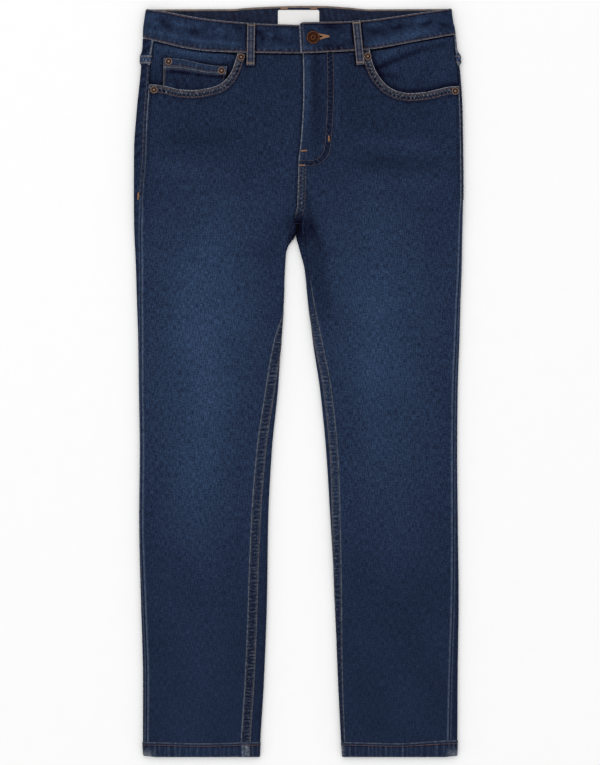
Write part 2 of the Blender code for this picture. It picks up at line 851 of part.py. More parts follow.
def add_back(name, side):
    strip_end = OUTER_COLUMNS + FLAT_COLUMNS + 1
    grids = [back_row(side, y, True) for y in LEG_ROWS]
    grids += [back_row(side, y, False) for y in SEAT_ROWS]
    rise = YOKE_SIDE_Y - COONS_Y
    shares = (0.3, 0.6, 1 - (YOKE_BAND + 2.5) / rise, 1 - (YOKE_BAND - 1) / rise, 1.0)
    for v in shares:

        def ys(share, v=v):
            return mix(COONS_Y, yoke_seam(share) - GAP / 2, v)

        grids.append(back_row(side, ys(0.0), False, ys))
    last_leg = len(LEG_ROWS) - 1
    for grid in grids[last_leg]:
        for k in range(strip_end + 1, len(grid)):
            grid[k] = grid[k] - Vector((0, GAP, 0))
    outer = [grid[0] for grid in grids]
    inner = [grid[1] for grid in grids]
    return add_wall(
        name, outer, inner, denim(), lambda row, col: row < last_leg or col < strip_end
    )


def add_yoke(name, side):
    outer, inner = [], []
    rows = 5
    for i in range(rows + 1):
        v = i / rows

        def ys(share, v=v):
            seam_x = mix(side * 200.0, 0.0, share)
            top = mix(front_waist(side * 205.0), back_waist(seam_x), ramp(0.0, 0.1, share))
            return mix(yoke_seam(share) + GAP / 2, top - GAP / 2, v)

        points, under = back_row(side, ys(0.0), False, ys)
        count = OUTER_COLUMNS + FLAT_COLUMNS + 2
        for k in range(OUTER_COLUMNS + 1):
            shift = front_waist(points[k].x) - front_waist(side * 205.0)
            if points[k].z > lift(ys(0.0)) + FOLD_RADIUS:
                points[k] = points[k] + Vector((0, shift * v, 0))
                under[k] = under[k] + Vector((0, shift * v, 0))
        outer.append(points[:count])
        inner.append(under[:count])
    return add_wall(name, outer, inner, denim())


# ---------------------------------------------------------------- waistband
def band_profile():
    """Rows across the waistband: share of its height, and share of its half thickness."""
    return ((0.0, 1.0), (0.5, 1.0), (0.93, 1.0), (1.0, 0.5))


def right_band_z(x):
    """Outer height of the right front of the waistband, which dips under the left end."""
    return mix(BAND_TOP_Z, UNDERLAP_TOP_Z, ramp(-38, -4, x))


def left_band_z(x):
    return mix(OVERLAP_TOP_Z, BAND_TOP_Z, ramp(UNDERLAP_END_X - 2, UNDERLAP_END_X + 26, x))


def add_waistband():
    half = BAND_WALL / 2
    middle_radius = BAND_RADIUS - half
    flat_steps = {RIGHT: 11, LEFT: 12}
    fold_steps = 6
    back_steps = 12
    stations = []
    for k in range(flat_steps[RIGHT] + 1):
        stations.append(("front", RIGHT, k / flat_steps[RIGHT]))
    for k in range(1, fold_steps + 1):
        stations.append(("fold", RIGHT, math.pi * k / fold_steps))
    for k in range(1, back_steps):
        stations.append(("back", 0, k / back_steps))
    for k in range(fold_steps + 1):
        stations.append(("fold", LEFT, math.pi * (1 - k / fold_steps)))
    for k in range(flat_steps[LEFT]):
        stations.append(("front", LEFT, 1 - (k + 1) / flat_steps[LEFT]))

    def tangent(side, y):
        return outer_edge[side](y) - side * BAND_RADIUS

    outer, inner = [], []
    for share, thick in band_profile():
        outer_row, inner_row = [], []
        for kind, side, value in stations:
            if kind == "fold":
                x_side = side * 204.0
                y = mix(front_waist(side * 209.0), front_top[side](x_side), share)
                y += GAP / 2 * (1 - share)
                out = Vector((side * math.sin(value), 0, math.cos(value)))
                centre = Vector((tangent(side, y), y, SEAT_LIFT + BAND_RADIUS))
                point = centre + out * middle_radius
            elif kind == "back":
                guess = mix(tangent(RIGHT, 475), tangent(LEFT, 475), value)
                y = mix(back_waist(guess) + GAP / 2, back_top(guess), share)
                x = mix(tangent(RIGHT, y), tangent(LEFT, y), value)
                out = Vector((0, 0, -1))
                point = Vector((x, y, SEAT_LIFT + half))
            else:
                end = UNDERLAP_END_X if side == RIGHT else overlap_edge(mix(436, 477, share))
                guess = mix(end, tangent(side, 475), value)
                y = mix(front_waist(guess) + GAP / 2, front_top[side](guess), share)
                x = mix(end, tangent(side, y), value)
                height = right_band_z(x) if side == RIGHT else left_band_z(x)
                out = Vector((0, 0, 1))
                point = Vector((x, y, height - half))
            outer_row.append(point + out * half * thick)
            inner_row.append(point - out * half * thick)
        outer.append(outer_row)
        inner.append(inner_row)
    band = add_wall("waistband", outer, inner, dark_denim())
    cutter = add_buttonhole_cutter()
    cut = band.modifiers.new("buttonhole", "BOOLEAN")
    cut.operation = "DIFFERENCE"
    cut.solver = "EXACT"
    cut.object = cutter
    return band


def add_buttonhole_cutter():
    """An eye round the button's shank with a slit towards the side, cut through the left end."""
    eye_radius = SHANK_RADIUS + 0.7
    slit = 0.8
    turn = math.asin(slit / eye_radius)
    steps = 14
    outline = []
    for k in range(steps + 1):
        angle = turn + (2 * math.pi - 2 * turn) * k / steps
        outline.append(
            (BUTTON.x + eye_radius * math.cos(angle), BUTTON.y + eye_radius * math.sin(angle))
        )
    outline.append((BUTTONHOLE_TIP.x, BUTTONHOLE_TIP.y - slit))
    outline.append((BUTTONHOLE_TIP.x, BUTTONHOLE_TIP.y + slit))
    bottom = UNDERLAP_TOP_Z + GAP / 2
    cutter = add_plate("buttonhole_cutter", outline, bottom - 1.4, OVERLAP_TOP_Z + 2, dark_denim())
    cutter.hide_render = True
    cutter.display_type = "WIRE"
    return cutter


# ---------------------------------------------------------------- pockets
def scoop_y(side, x):
    """Height of the pocket opening's edge at x, outside its steep upper end."""
    points = sorted(scoop[side], key=lambda p: p.x)
    return Curve([p.x for p in points], [p.y for p in points])(x)


def sunk(x, y, side, depth, thickness):
    """Top and bottom points of a layer that lies below the top face."""
    skin = on_top(x, y, side)
    return skin.moved(-depth), skin.moved(-depth - thickness)


def add_facing(name, side, depth):
    """Denim behind the pocket opening, from the waist seam to below the opening's edge."""
    corner_x = scoop[side][-1].x - side * 13.0
    cols, rows = 9, 6
    outer, inner = [], []
    for i in range(rows + 1):
        v = i / rows
        top_row, under_row = [], []
        for j in range(cols + 1):
            s = j / cols
            rough = mix(side * 200.0, corner_x, s)
            low = scoop_y(side, mix(rough, side * 150.0, ramp(0.55, 1.0, s)))
            low -= FACING_BELOW_SCOOP - 26.0 * ramp(0.7, 1.0, s)
            y = mix(low, front_waist(rough) + FACING_TUCK, v)
            seam = front_bounds(side, y)[0]
            x = mix(seam, corner_x, s)
            above, below = sunk(x, y, side, depth, FACING_WALL)
            top_row.append(above)
            under_row.append(below)
        outer.append(top_row)
        inner.append(under_row)
    return add_wall(name, outer, inner, denim())


def add_coin_pocket():
    """A small patch on the right facing that runs down behind the opening's edge."""
    left_top, right_top = Edge(-179.6, 430.6), Edge(-95.2, 420.0)
    left_low, right_low = Edge(-181.0, 380.0), Edge(-101.0, 380.0)
    cols, rows = 6, 4
    outer, inner = [], []
    for i in range(rows + 1):
        v = i / rows
        top_row, under_row = [], []
        for j in range(cols + 1):
            s = j / cols
            x = mix(mix(left_low.x, right_low.x, s), mix(left_top.x, right_top.x, s), v)
            low, high = mix(left_low.y, right_low.y, s), mix(left_top.y, right_top.y, s)
            y = mix(low, high + 1.6 * math.sin(2 * math.pi * s), v)
            above, below = sunk(x, y, RIGHT, COIN_POCKET_DEPTH, FACING_WALL)
            top_row.append(above)
            under_row.append(below)
        outer.append(top_row)
        inner.append(under_row)
    return add_wall("coin_pocket", outer, inner, denim())


def add_back_pocket(name, side):
    """A pointed patch pocket on the underside, on which the seat rests."""
    centre_x = side * 97.0
    top_half, low_half = 72.0, 60.0
    top, shoulder, point = 382.0, 258.0, 236.0
    tilt = side * 4.0
    outline = [
        (centre_x - top_half + tilt, top - side * 2),
        (centre_x - low_half, shoulder),
        (centre_x, point),
        (centre_x + low_half, shoulder),
        (centre_x + top_half + tilt, top + side * 2),
    ]
    return add_plate(name, outline, 0.0, BACK_PATCH_WALL, denim())


# ---------------------------------------------------------------- loops, label and hardware
def add_front_loop(loop):
    """A strap over the waistband, flat at both ends and a little proud between them."""
    seam = front_waist(loop.bottom_x)
    band_z = BAND_TOP_Z + GAP
    panel_z = lift(seam) + PANEL_HEIGHT + SEAM_RAISED + GAP
    path = (
        (loop.top_y, band_z),
        (loop.top_y - 4, band_z),
        (mix(loop.top_y, seam, 0.35), band_z + 0.7),
        (mix(loop.top_y, seam, 0.75), band_z + 0.8),
        (seam - 2, band_z + 0.3),
        (loop.bottom_y + 6, panel_z + 0.4),
        (loop.bottom_y + 3, panel_z),
        (loop.bottom_y, panel_z),
    )
    half = LOOP_WIDTH / 2
    across = ((-half, 0.3), (-half + 0.8, 0.0), (half - 0.8, 0.0), (half, 0.3))
    outer, inner = [], []
    for y, z in path:
        t = (loop.top_y - y) / (loop.top_y - loop.bottom_y)
        x = mix(loop.top_x, loop.bottom_x, t)
        outer.append([Vector((x + dx, y, z + LOOP_WALL - drop)) for dx, drop in across])
        inner.append([Vector((x + dx, y, z + drop)) for dx, drop in across])
    return add_wall(loop.name, outer, inner, dark_denim())


def add_back_loop(name, x):
    """A strap on the underside of the waistband."""
    top = back_top(x) - 0.5
    half = LOOP_WIDTH / 2
    outline = [
        (x - half, BACK_LOOP_BOTTOM_Y),
        (x + half, BACK_LOOP_BOTTOM_Y),
        (x + half, top),
        (x - half, top),
    ]
    return add_plate(name, outline, 0.0, BACK_PATCH_WALL, dark_denim())


def add_label():
    """A bare woven label on the inside of the back waistband."""
    half = LABEL_WIDTH / 2
    corner = 2.2
    steps = 4
    outline = [(-half, LABEL_BOTTOM_Y), (half, LABEL_BOTTOM_Y)]
    for side in (LEFT, RIGHT):
        centre = Vector((side * (half - corner), LABEL_TOP_Y - corner))
        arc = []
        for k in range(steps + 1):
            angle = math.pi / 2 * k / steps
            arc.append((centre.x + side * corner * math.cos(angle), centre.y + corner * math.sin(angle)))
        outline += arc if side == LEFT else arc[::-1]
    bottom = SEAT_LIFT + BAND_WALL + GAP
    return add_plate("label", outline, bottom, bottom + LABEL_WALL, white_tape())


def add_rivet(name, place):
    """A domed cap with a raised rim and a nub in the middle."""
    base = max(
        top_z(place.x + dx, place.y + dy) + front_relief(place.x, place.y, RIGHT if place.x < 0 else LEFT)
        for dx in (-RIVET_RADIUS, 0, RIVET_RADIUS)
        for dy in (-RIVET_RADIUS, 0, RIVET_RADIUS)
    )
    if place.depth:
        base = top_z(place.x, place.y) - place.depth
    base += GAP
    profile = (
        (RIVET_RADIUS - 0.6, base),
        (RIVET_RADIUS, base + 0.5),
        (RIVET_RADIUS - 0.7, base + 1.1),
        (RIVET_RADIUS * 0.55, base + 0.8),
        (RIVET_RADIUS * 0.32, base + 1.2),
        (RIVET_RADIUS * 0.18, base + 1.7),
    )
    return add_turned(name, profile, place, copper(), sides=16)


def add_button():
    """A shank button: it rises from the right end through the buttonhole of the left end."""
    foot = UNDERLAP_TOP_Z + GAP
    cap = OVERLAP_TOP_Z + GAP
    profile = (
        (SHANK_RADIUS, foot),
        (SHANK_RADIUS, cap),
        (BUTTON_RADIUS - 1.2, cap),
        (BUTTON_RADIUS, cap + 0.9),
        (BUTTON_RADIUS - 0.7, cap + 1.9),
        (BUTTON_RADIUS - 2.2, cap + 1.9),
        (BUTTON_RADIUS - 2.9, cap + 1.2),
        (BUTTON_RADIUS * 0.42, cap + 1.2),
        (BUTTON_RADIUS * 0.34, cap + 1.8),
        (BUTTON_RADIUS * 0.2, cap + 1.8),
        (BUTTON_RADIUS * 0.12, cap + 1.3),
    )
    return add_turned("button", profile, BUTTON, copper(), sides=24)


# ---------------------------------------------------------------- the garment
def build():
    for old in list(bpy.data.objects):
        bpy.data.objects.remove(old, do_unlink=True)
    add_front("front_right", RIGHT)
    add_front("front_left", LEFT)
    add_back("back_right", RIGHT)
    add_back("back_left", LEFT)
    add_yoke("yoke_right", RIGHT)
    add_yoke("yoke_left", LEFT)
    add_waistband()
    add_facing("facing_right", RIGHT, RIGHT_FACING_DEPTH)
    add_facing("facing_left", LEFT, LEFT_FACING_DEPTH)
    add_coin_pocket()
    add_back_pocket("back_pocket_right", RIGHT)
    add_back_pocket("back_pocket_left", LEFT)
    for loop in FRONT_LOOPS:
        add_front_loop(loop)
    add_back_loop("belt_loop_side_right", RIGHT * BACK_LOOP_X)
    add_back_loop("belt_loop_side_left", LEFT * BACK_LOOP_X)
    add_back_loop("belt_loop_back", 0.0)
    add_label()
    for number, place in enumerate(RIVETS, start=1):
        add_rivet(f"rivet_{number}", place)
    add_button()


build()
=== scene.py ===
"""Dresses the straight leg jeans: denim, felled seams, stitching, rivets, button and label.

The jeans lie flat on their back with the front panels up: +Z up, +Y towards the waist, +X towards
the wearer's left. Left and right are the wearer's. Tables and sizes are millimetres and are turned
to metres where a mesh is made.
"""

import logging
import math
from collections.abc import Callable
from dataclasses import dataclass, field
from enum import Enum, IntEnum
from functools import partial

import bpy
import numpy as np
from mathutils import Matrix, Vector


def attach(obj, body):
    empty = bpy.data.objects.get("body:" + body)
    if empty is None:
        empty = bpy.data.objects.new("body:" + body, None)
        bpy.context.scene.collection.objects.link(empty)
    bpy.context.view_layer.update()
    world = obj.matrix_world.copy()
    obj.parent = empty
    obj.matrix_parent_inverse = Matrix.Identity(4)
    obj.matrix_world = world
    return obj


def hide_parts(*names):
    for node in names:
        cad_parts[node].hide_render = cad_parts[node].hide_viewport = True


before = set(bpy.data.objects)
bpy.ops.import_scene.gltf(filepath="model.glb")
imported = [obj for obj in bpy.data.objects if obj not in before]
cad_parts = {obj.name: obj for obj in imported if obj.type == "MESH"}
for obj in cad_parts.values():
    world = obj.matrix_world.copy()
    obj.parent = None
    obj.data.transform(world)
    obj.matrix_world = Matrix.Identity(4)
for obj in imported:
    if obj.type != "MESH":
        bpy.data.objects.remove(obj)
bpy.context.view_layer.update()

MM = 0.001
LOG = logging.getLogger("jeans")
Array = np.ndarray


class Side(IntEnum):
    """A side of the garment, as the sign of its X."""

    RIGHT = -1
    LEFT = 1

    @property
    def word(self) -> str:
        """Returns: right or left, as the names of pieces have it."""
        return self.name.lower()


# ---------------- the pattern, in millimetres
# Outer folds: y, right edge, left edge, and the distance of each outseam along the cloth from the
# top of its fold, negative on the top face.
OUTSIDE = ((-500, -206.6, 211.0, -1.4, -8.2), (-482, -207.4, 211.5, -1.6, -8.0),
    (-398, -207.3, 211.9, -2.1, -6.7), (-291, -210.1, 213.2, -1.2, -4.7), (-185, -212.4, 212.1, 0.1, -2.9),
    (-91, -211.6, 211.3, 0.1, -2.1), (-11, -212.8, 212.0, -0.1, -1.9), (55, -213.7, 214.3, -0.9, -1.5),
    (109, -215.5, 215.8, -2.4, -0.7), (150, -216.7, 217.3, -3.8, 0.1), (210, -219.2, 218.4, -5.9, 0.7),
    (255, -219.5, 219.1, -8.4, 0.9), (309, -219.1, 218.7, -11.9, 0.8), (362, -215.5, 217.9, -10.5, 0.5),
    (415, -210.1, 214.4, -9.4, 0.7), (420, -209.8, 213.9, -9.3, 0.1), (424, -211.0, 216.0, -11.1, -2.5),
    (434, -210.8, 215.6, -12.0, -3.6), (440, -208.7, 211.7, -10.9, -0.6), (456, -207.6, 209.9, -11.9, 0.1),
    (468, -207.4, 208.7, -11.9, 0.1), (480, -206.1, 205.7, -11.9, 0.1), (500, -202.7, 203.8, -11.9, 0.1))
# Inner folds of the legs: y, right edge, left edge, and each inseam's distance from its fold.
INSIDE = ((-500, -51.9, 58.3, -20.9, 0.1), (-482, -51.1, 57.1, -21.3, -0.2),
    (-398, -46.1, 52.9, -20.9, -1.3), (-291, -42.1, 48.5, -20.6, -4.5), (-185, -40.4, 42.4, -18.2, -8.8),
    (-91, -35.5, 36.5, -15.8, -11.3), (-11, -27.5, 28.5, -12.2, -10.9), (55, -23.2, 18.7, -4.8, -8.0),
    (86, -20.9, 15.2, 3.1, -5.2), (109, -19.5, 12.5, 7.2, -3.3), (150, -18.1, 8.3, 8.6, -1.2),
    (168, -17.0, 3.6, 7.0, -4.2), (178, -15.2, 0.7, 3.5, -5.8), (195, -4.3, -3.6, -4.8, -9.3),
    (202, -2.6, -2.0, -4.3, -6.6), (210, -0.5, -0.1, -3.7, -4.0))
# The visible edge of the left front: the fly, and below it the front rise seam. y, x
FRONT_EDGE = ((210, -6.7), (226, -4.0), (233, -2.1), (258, -1.3), (286, -0.4), (298, 0.2), (322, 2.9),
    (375, 5.9), (405, 6.1), (437, 5.3))
# Edges that run across the garment: x, y
FRONT_WAIST_SEAM = ((-208.0, 457.1), (-176.8, 449.7), (-146.1, 442.8), (-115.5, 439.1), (-70.1, 437.5),
    (3.2, 436.5), (39.2, 438.0), (93.9, 442.0), (155.2, 452.7), (210.0, 462.5))
RIGHT_BAND_TOP = ((-203.0, 495.3), (-184.8, 493.1), (-151.5, 487.1), (-131.5, 483.7), (-91.5, 479.2),
    (-48.8, 476.0), (-11.5, 475.0), (30.0, 474.2))
LEFT_BAND_TOP = ((0.0, 478.0), (28.5, 478.3), (71.2, 479.3), (95.2, 481.2), (135.2, 486.5), (161.9, 490.5),
    (188.5, 494.0), (204.0, 496.0))
BACK_BAND_TOP = ((-203.0, 495.3), (-91.5, 495.7), (-66.1, 497.6), (-23.5, 499.5), (0.0, 500.0),
    (24.5, 500.0), (64.5, 498.0), (95.2, 495.4), (204.0, 496.0))
BACK_WAIST_SEAM = ((-208.0, 457.1), (0.0, 461.0), (210.0, 462.5))
OVERLAP_EDGE = ((436.5, 2.7), (477.3, 0.4))
SCOOPS = {Side.RIGHT: ((-197.5, 395.3), (-187.5, 394.7), (-172.3, 392.0), (-158.5, 388.7), (-140.1, 387.7),
    (-122.1, 390.0), (-106.5, 394.7), (-95.7, 403.1), (-88.1, 415.3), (-83.5, 429.1), (-80.8, 437.8)),
    Side.LEFT: ((212.0, 393.1), (200.5, 392.2), (185.9, 389.0), (167.2, 384.9), (147.2, 383.6),
    (132.0, 386.3), (119.7, 392.4), (109.1, 403.3), (101.3, 416.7), (96.8, 430.0), (94.5, 442.1))}
# Soft troughs in the top face: x and y of both ends, width, depth.
TROUGHS = ((14, 205, 42, 70, 13, 1.5), (-12, 232, -46, 150, 14, 0.9), (30, 268, 110, 236, 13, 0.7),
    (24, 240, 92, 196, 12, 0.6), (-34, 262, -112, 238, 14, 0.6), (-60, 330, -150, 318, 15, 0.5),
    (66, 338, 158, 322, 14, 0.5), (-158, 262, -205, 300, 13, 0.6), (160, 266, 205, 306, 13, 0.6),
    (-70, 120, -150, 92, 17, 0.6), (64, 60, 150, 84, 17, 0.7), (-58, -40, -140, -74, 18, 0.8),
    (62, -62, 146, -30, 17, 0.7), (-60, -120, -128, -132, 16, 0.6), (70, -150, 150, -128, 18, 0.6),
    (-70, -300, -160, -322, 18, 0.5), (76, -350, 168, -330, 18, 0.5))
# Finer wrinkles at the hips and down the legs, worn in at the seat of each hip.
WHISKERS = ((-30, 300, -104, 286, 7, 0.3), (-44, 282, -128, 262, 8, 0.32), (-104, 300, -186, 316, 7, 0.26),
    (-120, 276, -196, 282, 8, 0.24), (-28, 246, -88, 214, 7, 0.3), (-96, 232, -180, 240, 9, 0.22),
    (52, 306, 122, 292, 7, 0.3), (48, 286, 128, 266, 8, 0.32), (110, 304, 190, 322, 7, 0.26),
    (124, 278, 200, 288, 8, 0.24), (40, 226, 96, 178, 8, 0.34), (110, 240, 186, 250, 9, 0.22),
    (-48, 40, -120, 20, 9, 0.24), (-90, -10, -170, -2, 10, 0.2), (58, 6, 130, 20, 9, 0.24),
    (92, -100, 170, -92, 10, 0.2), (-80, -200, -150, -214, 11, 0.2), (88, -240, 160, -228, 11, 0.2))


class Curve:
    """A smooth curve through a table's rows that never swings past them."""

    def __init__(self, places: list[float], values: list[float]) -> None:
        """Args: places, where the values are given. values, one for each place."""
        order = np.argsort(places)
        self.places = np.asarray(places, float)[order]
        self.values = np.asarray(values, float)[order]
        rates = np.diff(self.values) / np.diff(self.places)
        self.slopes = np.concatenate(([rates[0]], np.zeros(len(rates) - 1), [rates[-1]]))
        for i in range(1, len(rates)):
            before, after = rates[i - 1], rates[i]
            if before * after > 0:
                self.slopes[i] = 2 * before * after / (before + after)

    def __call__(self, place: float | Array) -> Array:
        """Args: place, one or many. Returns: the curve's value there, held past its ends."""
        place = np.asarray(place, float)
        i = np.clip(np.searchsorted(self.places, place) - 1, 0, len(self.places) - 2)
        step = self.places[i + 1] - self.places[i]
        t = np.clip((place - self.places[i]) / step, 0.0, 1.0)
        a, b = self.values[i], self.values[i + 1]
        start = t * (1 - t) ** 2 * step * self.slopes[i]
        end = t * t * (t - 1) * step * self.slopes[i + 1]
        return a + (b - a) * t * t * (3 - 2 * t) + start + end


def table_curve(table: tuple, place: int, value: int) -> Curve:
    """Args: table of rows, and the columns to use. Returns: a curve of one against the other."""
    return Curve([row[place] for row in table], [row[value] for row in table])


def mix(a: Array, b: Array, t: Array) -> Array:
    """Args: two values and a share. Returns: the value that share of the way from a to b."""
    return a + (b - a) * t


def ramp(low: float, high: float, value: Array) -> Array:
    """Args: two ends and a value. Returns: 0 at low, 1 at high, smooth between."""
    t = np.clip((value - low) / (high - low), 0.0, 1.0)
    return t * t * (3 - 2 * t)


def hump(middle: float, half: float, value: Array) -> Array:
    """Args: middle, half width, value. Returns: 1 at the middle, 0 past the half width, smooth."""
    return ramp(half, 0.0, np.abs(value - middle))


def rounded(distance: Array, radius: float) -> Array:
    """Args: distance in from an edge, its radius. Returns: how far a rounded edge falls there."""
    inside = np.clip(radius - distance, 0.0, radius)
    return np.sqrt(radius * radius - inside * inside) - radius


def steps(start: float, end: float, size: float) -> Array:
    """Args: two ends and a step's size. Returns: even places from start to end, both kept."""
    return np.linspace(start, end, max(2, int(round(abs(end - start) / size)) + 1))


def sided(right: object, left: object) -> object:
    """Args: a value for each side. Returns: a dataclass field that gives them by side."""
    return field(default_factory=lambda: {Side.RIGHT: right, Side.LEFT: left})


def joined(*parts: Array) -> Array:
    """Args: coordinates. Returns: them broadcast together, as the last axis of one array."""
    return np.stack(np.broadcast_arrays(*parts), axis=-1)


def unit(vectors: Array) -> Array:
    """Args: (..., n) vectors. Returns: them at length 1."""
    return vectors / np.linalg.norm(vectors, axis=-1)[..., None]


def lengths(path: Array) -> Array:
    """Args: (n, ...) points of a path. Returns: the distance along it of each."""
    return np.concatenate([[0], np.cumsum(np.linalg.norm(np.diff(path, axis=0), axis=1))])


def ringed(outer: Array, inner: Array) -> Array:
    """Args: (stations, points, ...) values of a wall's two faces. Returns: them round each ring."""
    return np.concatenate([outer, inner[:, ::-1]], axis=1)


def nearest(values: Array, target: float) -> int:
    """Args: values, and a target. Returns: the number of the value nearest to it."""
    return int(np.argmin(np.abs(values - target)))


def creased(x: Array, y: Array, creases: tuple, bow: float = 0.0, whole: float = 0.3) -> Array:
    """Adds up soft creases that are given in a list.

    Args:
        x: places across.
        y: places along.
        creases: x and y of both ends, width and strength of each.
        bow: how far each bends sideways, as a share of its length.
        whole: share of its length at which each reaches its strength.

    Returns:
        Their sum at each place; each one fades out towards its ends.
    """
    total = np.zeros(np.broadcast(x, y).shape)
    for x0, y0, x1, y1, width, strength in creases:
        dx, dy = x1 - x0, y1 - y0
        length = math.hypot(dx, dy)
        t = ((x - x0) * dx + (y - y0) * dy) / length**2
        away = (dx * (y - y0) - dy * (x - x0)) / length + bow * length * 4 * t * (1 - t)
        taper = ramp(-0.15, whole, t) * ramp(1.15, 0.7, t)
        total += strength * taper * np.exp(-((away / width) ** 2))
    return total


# ---------------- the form the cloth lies on
@dataclass(frozen=True)
class Form:
    """A flattened tube: a top face, an underside and round folds at the sides."""

    height: float = 6.2
    seat_lift: float = 1.4
    crotch_y: float = 210.0
    outer_edge: dict = sided(table_curve(OUTSIDE, 0, 1), table_curve(OUTSIDE, 0, 2))
    outseam: dict = sided(table_curve(OUTSIDE, 0, 3), table_curve(OUTSIDE, 0, 4))
    inner_edge: dict = sided(table_curve(INSIDE, 0, 1), table_curve(INSIDE, 0, 2))
    inseam: dict = sided(table_curve(INSIDE, 0, 3), table_curve(INSIDE, 0, 4))
    front_edge: Curve = field(default_factory=lambda: table_curve(FRONT_EDGE, 0, 1))
    front_waist: Curve = field(default_factory=lambda: table_curve(FRONT_WAIST_SEAM, 0, 1))
    back_waist: Curve = field(default_factory=lambda: table_curve(BACK_WAIST_SEAM, 0, 1))

    @property
    def radius(self) -> float:
        """Returns: the radius of the side folds."""
        return self.height / 2

    @property
    def half_turn(self) -> float:
        """Returns: the length of cloth round one side fold."""
        return math.pi * self.radius

    def lift(self, y: Array) -> Array:
        """Args: y. Returns: height of the underside, which the pockets and loops hold up."""
        return self.seat_lift * ramp(188, 226, y)

    def trough(self, x: Array, y: Array) -> Array:
        """Args: a place. Returns: depth of the troughs and wrinkles there."""
        return creased(x, y, (*TROUGHS, *WHISKERS), bow=0.07, whole=0.25)

    def top(self, x: Array, y: Array) -> Array:
        """Args: a place. Returns: height of the top face."""
        x, y = np.asarray(x, float), np.asarray(y, float)
        faded = np.zeros(np.broadcast(x, y).shape)
        left = x > self.inner_edge[Side.LEFT](y)
        for side in Side:
            outside = ramp(0, 12, side * (self.outer_edge[side](y) - x) - self.radius)
            inside = ramp(0, 12, side * (x - self.inner_edge[side](y)) - self.radius)
            inside = mix(inside, 1.0, ramp(self.crotch_y - 15, self.crotch_y + 10, y))
            faded = np.where(left == (side is Side.LEFT), outside * inside, faded)
        return self.lift(y) + self.height - self.trough(x, y) * faded

    def rolled(self, edge: Array, side: int, roll: Array, y: Array) -> tuple[Array, Array]:
        """Args: edge of a fold that faces side, distance along the cloth from its top, y.

        Returns: points of the form and the directions out of the cloth there.
        """
        tangent = edge - side * self.radius
        angle = np.clip(roll / self.radius, 0.0, math.pi)
        out = joined(side * np.sin(angle), np.zeros_like(angle), np.cos(angle))
        x = tangent + out[..., 0] * self.radius
        z = self.lift(y) + self.radius * (1 + out[..., 2])
        flat_x = tangent + side * np.minimum(roll, 0.0)
        x = np.where(roll < 0, flat_x, x)
        z = np.where(roll < 0, self.top(flat_x, y), z)
        x = np.where(roll > self.half_turn, tangent - side * (roll - self.half_turn), x)
        return joined(x, y, z), out

    def folds(self, side: Side, y: Array) -> tuple[Array, Array]:
        """Args: a side and y. Returns: where its outer and inner folds begin on the top face."""
        outer = self.outer_edge[side](y) - side * self.radius
        inner = self.inner_edge[side](y) + side * self.radius
        return outer, inner

    def on_top(self, x: Array, y: Array, side: Side) -> tuple[Array, Array]:
        """Args: a place on the top face, which is spread out flat past its folds.

        Returns: points of the form and the directions out of the cloth there.
        """
        x, y = np.broadcast_arrays(np.asarray(x, float), np.asarray(y, float))
        outer, inner = self.folds(side, y)
        roll_out = side * (x - outer)
        roll_in = np.where(y < self.crotch_y, side * (inner - x), -1.0)
        point, out = self.rolled(self.outer_edge[side](y), side, roll_out, y)
        within, within_out = self.rolled(self.inner_edge[side](y), -side, roll_in, y)
        inside = (roll_in > 0)[..., None]
        return np.where(inside, within, point), np.where(inside, within_out, out)

    def lay(self, x: Array, y: Array, side: Side, raised: Array) -> Array:
        """Args: places on the spread-out top face and heights over it. Returns: points."""
        point, out = self.on_top(x, y, side)
        return point + out * np.asarray(raised, float)[..., None]

    def outseam_x(self, side: Side, y: Array, into_front: float = 0.0) -> Array:
        """Args: side, y, distance into the front panel. Returns: spread-out x from the outseam."""
        return self.folds(side, y)[0] + side * (self.outseam[side](y) - into_front)

    def inseam_x(self, side: Side, y: Array, past: float = 0.0) -> Array:
        """Args: side, y, distance into the back panel. Returns: spread-out x from the inseam."""
        return self.folds(side, y)[1] - side * (self.inseam[side](y) + past)


FORM = Form()


# ---------------- finishes
def linear(colour: str) -> tuple[float, float, float, float]:
    """Args: an sRGB hex colour. Returns: it in linear light, with full alpha."""
    shares = [int(colour[i : i + 2], 16) / 255 for i in (1, 3, 5)]
    red, green, blue = (share / 12.92 if share <= 0.04045 else ((share + 0.055) / 1.055) ** 2.4
        for share in shares)
    return red, green, blue, 1.0


def set_inputs(tree: bpy.types.NodeTree, node: bpy.types.Node, inputs: dict | tuple) -> None:
    """Args: tree, node, and what its inputs, by name or in order, are set to or linked from."""
    for key, value in inputs.items() if isinstance(inputs, dict) else enumerate(inputs):
        if isinstance(value, bpy.types.NodeSocket):
            tree.links.new(value, node.inputs[key])
        else:
            node.inputs[key].default_value = value


def add_node(tree: bpy.types.NodeTree, kind: str, inputs: dict | tuple = (),
        **settings: object) -> bpy.types.bpy_prop_collection:
    """Adds a node to a shader or geometry tree.

    Args:
        tree: where the node goes.
        kind: Blender's type name for it.
        inputs: what its inputs, by name or in order, are set to or linked from.
        **settings: its properties.

    Returns:
        The node's outputs.
    """
    node = tree.nodes.new(kind)
    for name, value in settings.items():
        setattr(node, name, value)
    set_inputs(tree, node, inputs)
    return node.outputs


def new_material(name: str, slot_colour: str) -> tuple[bpy.types.Material, Callable]:
    """Args: name, and an sRGB colour for the viewport. Returns: material, and its add_node."""
    made = bpy.data.materials.new(name)
    made.use_nodes = True
    made.diffuse_color = linear(slot_colour)
    return made, partial(add_node, made.node_tree)


def shaded(made: bpy.types.Material, inputs: dict) -> bpy.types.Material:
    """Args: a material, and what its shader's inputs are. Returns: the material."""
    set_inputs(made.node_tree, made.node_tree.nodes["Principled BSDF"], inputs)
    return made


